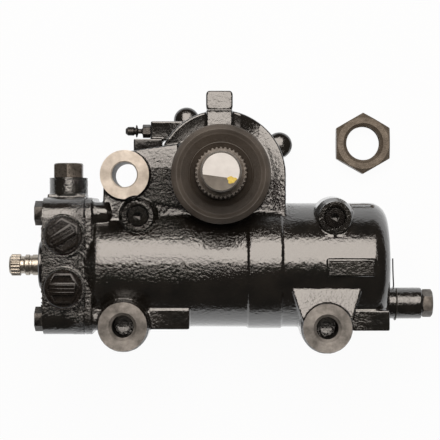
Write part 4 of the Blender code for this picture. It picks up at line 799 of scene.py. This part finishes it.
def build_valve_housing():
    left, right = VALVE_LOW.x, HOUSING_LEFT - SEAT
    low = PISTON_Y + VALVE_HALF_Y
    shapes = [block("valve_body", valve_outline(), left - 0.002, right + 0.002, "X", PISTON)]
    for y in PORT_YS:
        profile = [(PISTON_Z, 0.0125), (0.140, 0.0125), (0.144, 0.021), (PORT_FACE_Z + 0.002, PORT_BOSS_R)]
        shapes.append(lathe("port_boss", profile, at=(PORT_X, y)))
    middle = ((left + right) / 2, PISTON_Z)
    shapes.append(block("relief_upstand", rectangle(right - left - 0.002, 0.034), low - 0.010, low + 0.004,
                        "Y", middle))
    shapes.append(rod("relief_boss", RELIEF_BOSS_R, low + 0.003, RELIEF_BOSS_TOP + 0.002, "Y", RELIEF))
    body = melted("cast_valve_housing", shapes, 0.0008, 5)
    edge_grain = (((right, PISTON_Y, PISTON_Z), (0.011, 0.2, 0.2), 0.9),)
    grained(body, 0.25, edge_grain)
    cutters = [
        slab("left_plane", REACH, 0.112, PISTON, left - 0.020, left, "X"),
        slab("right_plane", REACH, 0.112, PISTON, right, right + 0.020, "X"),
        slab("port_plane", 0.080, REACH, (PORT_X, PISTON_Y), PORT_FACE_Z, PORT_FACE_Z + 0.020),
        slab("relief_plane", 0.080, 0.080, RELIEF, RELIEF_BOSS_TOP, RELIEF_BOSS_TOP + 0.020, "Y"),
        rod("valve_bore", 0.0219, left - 0.010, right + 0.010, "X", PISTON),
        hole("relief_hole", STEM_HOLE_R, RELIEF_BOSS_TOP - 0.0323, RELIEF_BOSS_TOP, RELIEF, axis="Y"),
    ]
    for y in PORT_YS:
        cutters.append(rod("port_hole", 0.0105, PORT_FACE_Z - 0.026, PORT_FACE_Z + 0.002, at=(PORT_X, y)))
        cutters.append(rod("spot_face", PORT_PLUG_R + SEAT, PORT_FACE_Z - SPOT_FACE_DEPTH,
                           PORT_FACE_Z + 0.002, at=(PORT_X, y), edge=0.0001))
    for place in valve_bolt_places():
        cutters.append(rod("bolt_hole", BOLT_HOLE_R, left - 0.010, right + 0.010, "X", place, 32))
    carve(body, cutters)
    mark_roughness(body, 0.22, edge_grain)
    piece(body, cast_paint("valve_black_paint"), CASE, "valve_housing", 38)


def build_valve_cover():
    left, right = COVER_LOW.x, COVER_HIGH.x
    plate_left = right - 0.0075
    plate = block("end_cover_plate", valve_outline(0.003), plate_left, right, "X", PISTON, 0.0012)
    profile = [(plate_left + 0.001, 0.0275), (plate_left - 0.0015, 0.026), (left + 0.0012, 0.026),
               (left, 0.0248)]
    hub = lathe("end_cover_hub", profile, "X", PISTON)
    profile = [(left - 0.002, 0.0130), (left + 0.0025, 0.0130), (left + 0.0025, 0.0163),
               (right + 0.002, 0.0163)]
    bore = lathe("hub_bore", profile, "X", PISTON)
    ways = [rod("cover_bolt_way", BOLT_HOLE_R, plate_left - 0.002, right + 0.002, "X", place, 32)
            for place in valve_bolt_places()]
    carve(plate, [hub], "UNION")
    carve(plate, [bore, *ways])
    plate.name = "end_cover"
    piece(plate, smooth_paint("end_cover_paint"), CASE, "valve_end_cover", 38)


def hexagon(name, across_flats, low, high, axis, at, turn=0.0, both=True, chamfer=0.12):
    """A hexagon head whose corners are turned off to a cone at one end or both."""
    outline = polygon(6, across_flats, turn)
    body = block(name, outline, low, high, axis, at, 0.0003, 1)
    tip_r = across_flats / 2 / cos(pi / 6)
    bite = across_flats * chamfer
    cone = [(low, across_flats / 2 * 0.97), (low + bite * 0.6, tip_r + 0.0005)]
    if not both:
        cone = [(low - 0.001, tip_r + 0.001)]
    cone += [(high - bite * 0.6, tip_r + 0.0005), (high, across_flats / 2 * 0.97)]
    return carve(body, [lathe(name + "_cone", cone, axis, at, 64)], "INTERSECT")


def build_screw(head, stem, material, node):
    """A screw of the case from its head and its stem."""
    carve(head, [stem], "UNION")
    piece(head, material, CASE, node, 30)


def build_valve_bolts():
    dark = steel("bolt_black", (0.03, 0.028, 0.026), (0.09, 0.085, 0.08), (0.28, 0.45))
    for index, (y, z) in enumerate(valve_bolt_places(), 1):
        low, high = node_box(f"valve_bolt_{index}")
        head = hexagon(f"valve_bolt_head_{index}", BOLT_FLATS, low.x, low.x + 0.0092, "X", (y, z), both=False)
        shank = rod("shank", BOLT_R, low.x + 0.004, high.x, "X", (y, z), 32)
        build_screw(head, shank, dark, f"valve_bolt_{index}")


def build_relief_plug():
    low, high = node_box("relief_plug")
    base = RELIEF_BOSS_TOP + SEAT
    head = hexagon("relief_hexagon", RELIEF_FLATS, base, high.y, "Y", RELIEF, pi / 6, False)
    stem = rod("relief_stem", STEM_R, low.y, base + 0.002, "Y", RELIEF, 48)
    metal = steel("plug_black", (0.075, 0.066, 0.057), (0.17, 0.15, 0.13), (0.22, 0.4), 0.5)
    build_screw(head, stem, metal, "relief_plug")


def turned_by(points, angle):
    return [(x * cos(angle) - y * sin(angle), x * sin(angle) + y * cos(angle)) for x, y in points]


def build_port_plug(name, y, turn, material):
    base = PORT_FACE_Z - SPOT_FACE_DEPTH + SEAT
    at = (PORT_X, y)
    profile = after(base, [(-0.014, 0.0090), (-0.0135, 0.0097), (-0.0002, 0.0097), (0, 0.0100),
                           (0, PORT_PLUG_R), (0.0015, PORT_PLUG_R), (0.0025, PORT_PLUG_R - 0.0010)])
    plug = lathe(name + "_flange", profile, at=at)
    rim, hollow = (turned_by(polygon(6, flats), turn) for flats in (PORT_PLUG_FLATS, PORT_WELL_FLATS))
    ring = block("hexagon_ring", rim, base + 0.002, base + 0.0058, at=at, edge=0.0006)
    well = block("hexagon_well", hollow, base + 0.0030, base + 0.010, at=at)
    outline = turned_by(rectangle(0.0262, 0.0125), turn)
    bar = block("bar", outline, base + 0.002, base + 0.0068, at=at, edge=0.0006)
    ribs = []
    for y in (-0.0036, 0, 0.0036):
        outline = turned_by(rectangle(0.0245, 0.0011, center=(0, y)), turn)
        ribs.append(block("rib", outline, base + 0.006, base + 0.0080, at=at, edge=0.0003))
    carve(plug, [ring], "UNION")
    carve(plug, [well])
    carve(plug, [bar, *ribs], "UNION")
    piece(plug, material, CASE, name, 35)


def build_port_plugs():
    plastic = tinted("plug_plastic", (0.009, 0.007, 0.006), (0.022, 0.018, 0.015), (150, 3), (500, 3),
                     (0.07, 0.15), (((700, 3), 0.0002, 0.5),))
    for name, y, turn in zip(("port_plug_upper", "port_plug_lower"), PORT_YS, PORT_TURNS):
        build_port_plug(name, y, turn, plastic.material)


# Shafts

def serrated(teeth, root, tip, share=0.3):
    """A serrated outline whose teeth have flat tips and roots."""
    points = []
    step = 2 * pi / teeth
    for index in range(teeth):
        middle = index * step
        for offset, radius in ((-0.5 + share / 2, root), (-share / 2, tip),
                               (share / 2, tip), (0.5 - share / 2, root)):
            angle = middle + offset * step
            points.append((radius * cos(angle), radius * sin(angle)))
    return points


def build_input_shaft():
    left, inner = INPUT_END, 0.0046
    profile = after(left, [
        (0, inner), (0, 0.0088), (0.0015, 0.0100), (0.0020, 0.0102), (0.0112, 0.0102), (0.0120, 0.0092),
        (0.0150, 0.0090), (0.0165, 0.0100), (0.0170, 0.0109), (0.0206, 0.0109), (0.0214, 0.0099),
        (0.0236, 0.0099), (0.0244, 0.0109),
    ])
    profile += [(-0.1700, 0.0109), (-0.1700, 0.0146), (-0.1696, 0.0150), (-0.1294, 0.0150), (-0.1290, 0.0146),
                (-0.1290, inner)]
    shaft = lathe("input_shaft_steel", profile, "X", PISTON, 96, True)
    teeth = block("tip_teeth", serrated(18, 0.0102, 0.0113), left + 0.0018, left + 0.0114, "X", PISTON,
                  0.0003, 1)
    way = rod("tip_way", 0.0070, left - 0.001, left + 0.020, "X", PISTON, 48)
    carve(teeth, [way])
    carve(shaft, [teeth], "UNION")
    slots = []
    for index in range(6):
        angle = 2 * pi * index / 6
        at = (PISTON_Y + 0.015 * cos(angle), PISTON_Z + 0.015 * sin(angle))
        slots.append(slab("rotor_slot", 0.004, 0.004, at, -0.162, -0.137, "X"))
    carve(shaft, slots)
    finish = tinted("input_steel", (0.34, 0.305, 0.26), (0.60, 0.55, 0.48), (240, 4), (500, 3), (0.24, 0.42),
                    metallic=0.9)
    finish.bump(finish.rings((0, PISTON_Y + SHAFT.y, PISTON_Z), "X", 500), 0.0001, 0.4)
    piece(shaft, finish.material, "input", "input_shaft", 30)


def involute(angle):
    return tan(angle) - angle


def sector_outline():
    """The toothed sector, with the same teeth as the CAD."""
    module, count, teeth = 0.006, 18, 5
    pressure = radians(20)
    pitch_r = module * count / 2
    base = pitch_r * cos(pressure)
    tip, root = pitch_r + 0.0052, pitch_r - 0.0066
    half_pitch = pi / (2 * count) - 0.0002 / pitch_r
    start = max(base, root) + 0.0001
    flank = []
    for step in range(8):
        radius = start + (tip - start) * step / 7
        bend = involute(acos(min(1.0, base / radius)))
        flank.append((radius, half_pitch + involute(pressure) - bend))
    limit = radians(50)
    polar = [(0.0217, limit), (0.0217, -limit), (root, -limit)]
    for index in range(teeth):
        middle = 2 * pi / count * (index - (teeth - 1) / 2)
        polar.append((root, middle - flank[0][1]))
        polar += [(radius, middle - half) for radius, half in flank]
        polar += [(radius, middle + half) for radius, half in reversed(flank)]
        polar.append((root, middle + flank[0][1]))
    polar.append((root, limit))
    return [(radius * sin(angle), -radius * cos(angle)) for radius, angle in polar]


def build_output_shaft():
    low, high = PISTON_Z - SECTOR_HALF, PISTON_Z + SECTOR_HALF
    top = SHAFT_TOP - SEAT
    bottom = node_box("sector_shaft")[0].z
    profile = [
        (bottom, 0.0132), (bottom, 0.0185), (bottom + 0.0005, 0.0190), (low - 0.004, 0.0190),
        (low + 0.002, 0.0257), (JOURNAL_TOP - 0.002, 0.0257), (JOURNAL_TOP, SPLINE_ROOT_R - 0.0004),
        (SPLINE_TOP + 0.001, SPLINE_ROOT_R - 0.0010), (SPLINE_TOP + 0.003, THREAD_R - 0.0016),
        (SPLINE_TOP + 0.006, THREAD_R - 0.0016),
    ]
    place = SPLINE_TOP + 0.0070
    while place + THREAD_PITCH < top - 0.001:
        profile += [(place, THREAD_R - 0.0009), (place + THREAD_PITCH / 2, THREAD_R)]
        place += THREAD_PITCH
    profile += [(top - 0.0012, THREAD_R - 0.0004), (top, THREAD_R - 0.0016), (top, 0), (bottom + 0.0095, 0),
                (bottom + 0.0095, 0.0132)]
    shaft = lathe("output_shaft_steel", profile, steps=108, loop=True)
    spline = block("output_serration", serrated(SPLINE_TEETH, SPLINE_ROOT_R, SPLINE_R, 0.25),
                   JOURNAL_TOP + 0.0005, SPLINE_TOP, edge=0.0004, segments=1)
    teeth = block("sector_teeth", sector_outline(), low, high, edge=0.0004, segments=1)
    carve(shaft, [spline, teeth], "UNION")
    finish = tinted("shaft_steel", (0.095, 0.081, 0.069), (0.215, 0.187, 0.162), (180, 5), (400, 3),
                    (0.26, 0.46), (((900, 3), 0.0002, 0.5),))
    bright = machined("shaft_end_steel", (0.10, 0.09, 0.077), (0.19, 0.172, 0.15), (0, 0, top),
                      ring_scale=500)
    finish_faces(shaft, finish.material,
                 (bright, lambda c, n: (c[:, 2] > top - 0.0013) & near(c, (0, 0), THREAD_R)))
    piece(shaft, None, "output_shaft", "sector_shaft", 32)
    build_sticker(top)


def build_sticker(top):
    """A bare paper sticker and a yellow paint dot on the end of the output shaft."""
    start = asin(-0.0052 / STICKER_R)
    outline = turned_by(arc(STICKER_R, start, pi - start, 48), radians(-8))
    sticker = block("paper_sticker", outline, top - 0.0001, top + 0.00022)
    paper = tinted("sticker_paper", (0.74, 0.73, 0.72), (0.84, 0.83, 0.82), (120, 4), (900, 2), (0.45, 0.65),
                   (((900, 2), 0.0001, 0.4),))
    piece(sticker, paper.material, "output_shaft")
    outline = []
    for i in range(40):
        angle = 2 * pi * i / 40
        radius = 0.0042 * (1 + 0.16 * sin(3 * angle + 1) + 0.10 * sin(5 * angle))
        outline.append((DOT_AT[0] + radius * cos(angle), DOT_AT[1] + 0.8 * radius * sin(angle)))
    dot = block("paint_dot", outline, top - 0.0001, top + 0.00028)
    yellow = tinted("yellow_paint", (0.62, 0.42, 0.04), (0.85, 0.66, 0.12), (500, 3), (900, 2), (0.35, 0.55))
    piece(dot, yellow.material, "output_shaft")


def build_dust_cap():
    low, high = node_box("dust_cap")
    base, top = low.z, high.z
    inner = 0.0261
    profile = [
        (base, inner), (base, CAP_R - 0.0006), (base + 0.0008, CAP_R), (top - 0.0042, CAP_R),
        (top - 0.0028, CAP_R - 0.0010), (top - 0.0004, CAP_R - 0.0044), (top, CAP_R - 0.0052),
        (top - 0.0002, CAP_R - 0.0062), (top - 0.0018, CAP_R - 0.0080), (top - 0.0026, CAP_R - 0.0100),
        (base + 0.0044, CAP_R - 0.0165), (base + 0.0040, CAP_R - 0.0176), (base + 0.0044, CAP_R - 0.0186),
        (base + 0.0036, CAP_R - 0.0200), (base + 0.0030, inner + 0.0010), (base + 0.0024, inner),
    ]
    cap = lathe("dust_cap_ring", profile, steps=144, loop=True)
    # Two rubbers: a dark one for the cap, and a paler copy on its outer rim that is a painted highlight along the
    # rim
    rubbers = []
    for name, low_tone, high_tone in (
        ("dust_cap_rubber", (0.028, 0.021, 0.015), (0.050, 0.038, 0.028)),
        ("dusty_rim_rubber", (0.058, 0.049, 0.041), (0.112, 0.096, 0.082)),
    ):
        rubber = tinted(name, low_tone, high_tone, (35, 5), (200, 4), (0.34, 0.54))
        rubber.bump(rubber.rings(Vector((0, 0, base)) + SHAFT, "Z", 260), 0.0002, 0.35)
        rubber.bump(rubber.noise(700, 3), 0.0002, 0.5)
        rubbers.append(rubber.material)
    # Faces outside CAP_R - 0.0105 take the paler rubber, the painted rim highlight
    finish_faces(cap, rubbers[0], (rubbers[1], lambda c, n: ~near(c, (0, 0), CAP_R - 0.0105)))
    piece(cap, None, CASE, "dust_cap")


# Side cover and small fittings

def build_side_cover():
    top = JOINT_Z - SEAT
    bottom = top - 0.012
    spigot = node_box("side_cover")[1].z
    bush = 0.0229
    profile = [
        (0.008, 0.0070), (0.008, 0.0180), (0.0006, 0.0180), (0, 0.0186), (0, 0.0314), (0.0006, 0.0320),
        (bottom - 0.001, 0.0330), (bottom, 0.0345), (bottom, 0.0685), (bottom + 0.0015, 0.0700),
        (top, 0.0700), (top, CAVITY_R - SEAT), (spigot, CAVITY_R - SEAT), (spigot, CAVITY_R - 0.009),
        (top, CAVITY_R - 0.011), (top, bush + 0.008), (spigot, bush + 0.005), (spigot, bush + SEAT),
        (0.018, bush + SEAT), (0.018, 0.0070),
    ]
    cover = lathe("cover_casting", profile, steps=128, loop=True)
    shapes = [rod("plate_lobe", LOBE_R, bottom, top - 0.0003, at=place) for place in lobe_places()]
    for index in range(4):
        angle = radians(LOBE_ANGLES[0]) + 2 * pi * (index + 0.5) / 4
        outline = turned_by(rectangle(0.036, 0.007, center=(0.044, 0)), angle)
        shapes.append(block("cover_rib", outline, bottom - 0.006, bottom + 0.002, edge=0.0012))
    carve(cover, shapes, "UNION")
    carve(cover, [rod("cover_bolt_pass", BOLT_HOLE_R, bottom - 0.010, top + 0.002, at=place, steps=32)
                  for place in lobe_places()])
    mark_roughness(cover, 0.5, ())
    piece(cover, cast_paint("side_cover_paint", 0.8), CASE, "side_cover", 38)


def build_bore_plugs():
    metal = steel("bore_plug_black", (0.005, 0.004, 0.004), (0.014, 0.012, 0.010), (0.04, 0.09), 0.0, 0.00006)
    for name in ("bore_plug_left", "bore_plug_right"):
        low, high = node_box(name)
        at = ((low.x + high.x) / 2, (low.y + high.y) / 2)
        profile = [(low.z, 0.0100), (low.z + 0.0005, 0.0105), (high.z - 0.0008, 0.0105), (high.z, 0.0099)]
        plug = lathe(name + "_disc", profile, at=at)
        bottom = high.z - 0.0055
        profile = [(bottom - 0.0007, 0), (bottom, 0.0022), (bottom + 0.002, 0.0022)]
        dimple = lathe("dimple", profile, at=at, steps=48)
        socket = block("socket", polygon(6, BORE_PLUG_FLATS), bottom, high.z + 0.002, at=at)
        carve(plug, [socket, dimple])
        piece(plug, metal, CASE, name, 30)


def build_limiter():
    low, high = node_box("limiter_screw")
    start = LIMITER_BOSS_END + SEAT
    head = hexagon("limiter_hexagon", LIMITER_FLATS, start, high.x, "X", LIMITER)
    stem = rod("limiter_stem", STEM_R, low.x, start + 0.003, "X", LIMITER, 48)
    metal = steel("limiter_steel", (0.08, 0.072, 0.065), (0.20, 0.185, 0.17), (0.3, 0.5), 0.8)
    build_screw(head, stem, metal, "limiter_screw")


def tube(name, points, radius):
    curve = bpy.data.curves.new(name, "CURVE")
    curve.dimensions = "3D"
    curve.bevel_depth = radius
    curve.bevel_resolution = 4
    curve.use_fill_caps = True
    spline = curve.splines.new("NURBS")
    spline.points.add(len(points) - 1)
    for point, place in zip(spline.points, points):
        point.co = (*(Vector(place) + SHAFT), 1)
    spline.use_endpoint_u = True
    spline.order_u = 3
    spline.resolution_u = 3
    drawn = linked(name, curve)
    mesh = evaluated(drawn)
    bpy.data.objects.remove(drawn)
    mesh.shade_smooth()
    return linked(name, mesh)


def build_wire():
    radius = LIMITER_BOSS_R + 0.0012
    wire_x = 0.1810
    points = [(wire_x - 0.0012, -0.0862, PISTON_Z + 0.002), (wire_x - 0.0010, -0.1000, PISTON_Z + 0.0015)]
    for step in range(33):
        angle = 2 * pi * 0.92 * step / 32
        points.append((wire_x + 0.0018 * step / 32, LIMITER_Y + radius * cos(angle),
                       PISTON_Z - radius * sin(angle)))
    wire = tube("seal_wire", points, 0.0007)
    metal = steel("wire_steel", (0.05, 0.046, 0.04), (0.14, 0.13, 0.12), (0.3, 0.5))
    piece(wire, metal, CASE, "limiter_seal_wire")


def build_bleed_screw():
    left = BLEED_BLOCK_LEFT - SEAT
    head = hexagon("bleed_hexagon", BLEED_FLATS, left - 0.0085, left, "X", BLEED, chamfer=0.10)
    profile = after(left, [
        (-0.0265, 0.0026), (-0.0258, 0.0032), (-0.0240, 0.0046), (-0.0180, 0.0047), (-0.0168, 0.0036),
        (-0.0160, 0.0036), (-0.0155, 0.0064), (-0.0150, 0.0066), (-0.0146, 0.0066), (-0.0142, 0.0062),
        (-0.0130, 0.0027), (-0.0100, 0.0026), (-0.0080, 0.0040), (0.0110, 0.0040),
    ])
    nipple = lathe("bleed_nipple", profile, "X", BLEED, 64)
    metal = steel("bleed_black", (0.02, 0.018, 0.017), (0.07, 0.065, 0.06), (0.2, 0.4), 0.7)
    build_screw(head, nipple, metal, "bleed_screw")


def build_nut():
    low, high = node_box("drop_arm_nut")
    at = ((low.x + high.x) / 2, (low.y + high.y) / 2)
    across = high.x - low.x
    nut = hexagon("nut_body", across, low.z, high.z, "Z", at, pi / 2)
    hole_r, chamfer = 0.0184, 0.0034
    wide = hole_r + chamfer
    profile = [(low.z - 0.001, wide + 0.001), (low.z + chamfer, hole_r)]
    place = low.z + chamfer
    while place + THREAD_PITCH < high.z - chamfer:
        profile += [(place + THREAD_PITCH / 2, hole_r + 0.0007), (place + THREAD_PITCH, hole_r)]
        place += THREAD_PITCH
    profile += [(high.z - chamfer, hole_r), (high.z + 0.001, wide + 0.001)]
    carve(nut, [lathe("nut_thread", profile, "Z", at, 96)])
    finish = tinted("nut_steel", (0.110, 0.088, 0.066), (0.215, 0.180, 0.142), (110, 5, 0.65), (300, 4),
                    (0.35, 0.6), (((500, 4), 0.0004, 0.6),), 0.3)
    piece(nut, finish.material, "nut", "drop_arm_nut", 30)


def dress_cad_nodes():
    """Procedural finishes for the pieces that stay as in the CAD."""
    finishes = {
        "machined_steel": steel("inner_steel", (0.34, 0.32, 0.30), (0.56, 0.54, 0.51), (0.22, 0.4)),
        "dark_steel": steel("inner_dark_steel", (0.05, 0.047, 0.043), (0.14, 0.13, 0.12), (0.3, 0.5)),
        "rubber": dull("seal_rubber", (0.015, 0.015, 0.015), (0.04, 0.04, 0.04)),
        "black_plastic": dull("ring_plastic", (0.012, 0.012, 0.013), (0.03, 0.03, 0.032), (0.35, 0.5)),
        "bronze": steel("bush_bronze", (0.32, 0.18, 0.06), (0.50, 0.31, 0.13), (0.28, 0.45)),
        "black_paint": smooth_paint("inner_paint"),
    }
    for entry in frame["record"]["subparts"]:
        node = frame["nodes"][entry["node"]]
        if entry["node"] not in replaced:
            set_material(node, finishes[entry["material_slot"]])
            smooth_by_angle(node, 32)


# Stage

CAMERA_PLACE = Vector((-0.0010, -0.0460, 1.6585))
LENS_MM = 122.7
SENSOR_MM = 36.0
FLOOR_GLOW = 0.96
FLOOR_HALF = 4.0
SOFTBOX_SIZE = 1.1
SOFTBOX_DISTANCE = 1.3
SOFTBOX_TILT = radians(27.6)
SOFTBOX_RADIANCE = 4.4
SOFTBOX_COLOR = (1, 0.912, 0.83)


def build_camera():
    camera = bpy.data.cameras.new("camera")
    camera.lens = LENS_MM
    camera.sensor_width = SENSOR_MM
    camera.clip_end = 20
    obj = linked("camera", camera)
    obj.location = CAMERA_PLACE + SHAFT
    bpy.context.scene.camera = obj


def build_softbox():
    """One square soft lamp over the object, leaning towards +Y."""
    target = Vector((0, PISTON_Y, 0.12)) + SHAFT
    away = Vector((0, sin(SOFTBOX_TILT), cos(SOFTBOX_TILT)))
    light = bpy.data.lights.new("softbox", "AREA")
    light.shape = "RECTANGLE"
    light.size = light.size_y = SOFTBOX_SIZE
    light.energy = SOFTBOX_RADIANCE * pi * SOFTBOX_SIZE ** 2
    light.color = SOFTBOX_COLOR
    obj = linked("softbox", light)
    obj.location = target + away * SOFTBOX_DISTANCE
    obj.rotation_euler = (-away).to_track_quat("-Z", "Y").to_euler()


def build_floor():
    build = bmesh.new()
    build.faces.new([build.verts.new((x, y, 0)) for x, y in rectangle(2 * FLOOR_HALF, 2 * FLOOR_HALF)])
    floor = as_object("floor", build)
    material, tree, shader = node_material("white_floor")
    shader.inputs["Base Color"].default_value = (0.85, 0.85, 0.85, 1)
    shader.inputs["Roughness"].default_value = 0.9
    glow = tree.nodes.new("ShaderNodeEmission")
    rays = tree.nodes.new("ShaderNodeLightPath").outputs
    share = rays["Is Camera Ray"]
    for operation, factor in (("MAXIMUM", rays["Is Glossy Ray"]), ("MAXIMUM", rays["Is Transmission Ray"]),
                              ("MULTIPLY", FLOOR_GLOW)):
        share = add_node(tree, "ShaderNodeMath", ((0, share), (1, factor)), operation=operation).outputs[0]
    mix = add_node(tree, "ShaderNodeMixShader",
                   (("Fac", share), (1, shader.outputs[0]), (2, glow.outputs[0])))
    feed(tree, tree.nodes["Material Output"].inputs["Surface"], mix.outputs[0])
    set_material(floor, material)


def build_world():
    """A studio that is pale low down and dark overhead."""
    world = bpy.data.worlds.new("studio")
    bpy.context.scene.world = world
    world.use_nodes = True
    tree = world.node_tree
    place = tree.nodes.new("ShaderNodeTexCoord").outputs["Generated"]
    height = add_node(tree, "ShaderNodeSeparateXYZ", ((0, place),)).outputs["Z"]
    ramp = add_node(tree, "ShaderNodeValToRGB", (("Fac", height),))
    low, high = ramp.color_ramp.elements
    low.position, high.position = 0.02, 0.12
    low.color = (0.20, 0.195, 0.19, 1)
    high.color = (0.05, 0.048, 0.045, 1)
    feed(tree, tree.nodes["Background"].inputs["Color"], ramp.outputs["Color"])


def build_stage():
    bpy.context.scene.view_settings.view_transform = "Standard"
    build_camera()
    build_floor()
    build_world()
    build_softbox()


def main():
    build_stage()
    build_housing()
    build_valve_housing()
    build_valve_cover()
    build_valve_bolts()
    build_relief_plug()
    build_port_plugs()
    build_input_shaft()
    build_output_shaft()
    build_dust_cap()
    build_side_cover()
    build_bore_plugs()
    build_limiter()
    build_wire()
    build_bleed_screw()
    build_nut()
    dress_cad_nodes()


main()
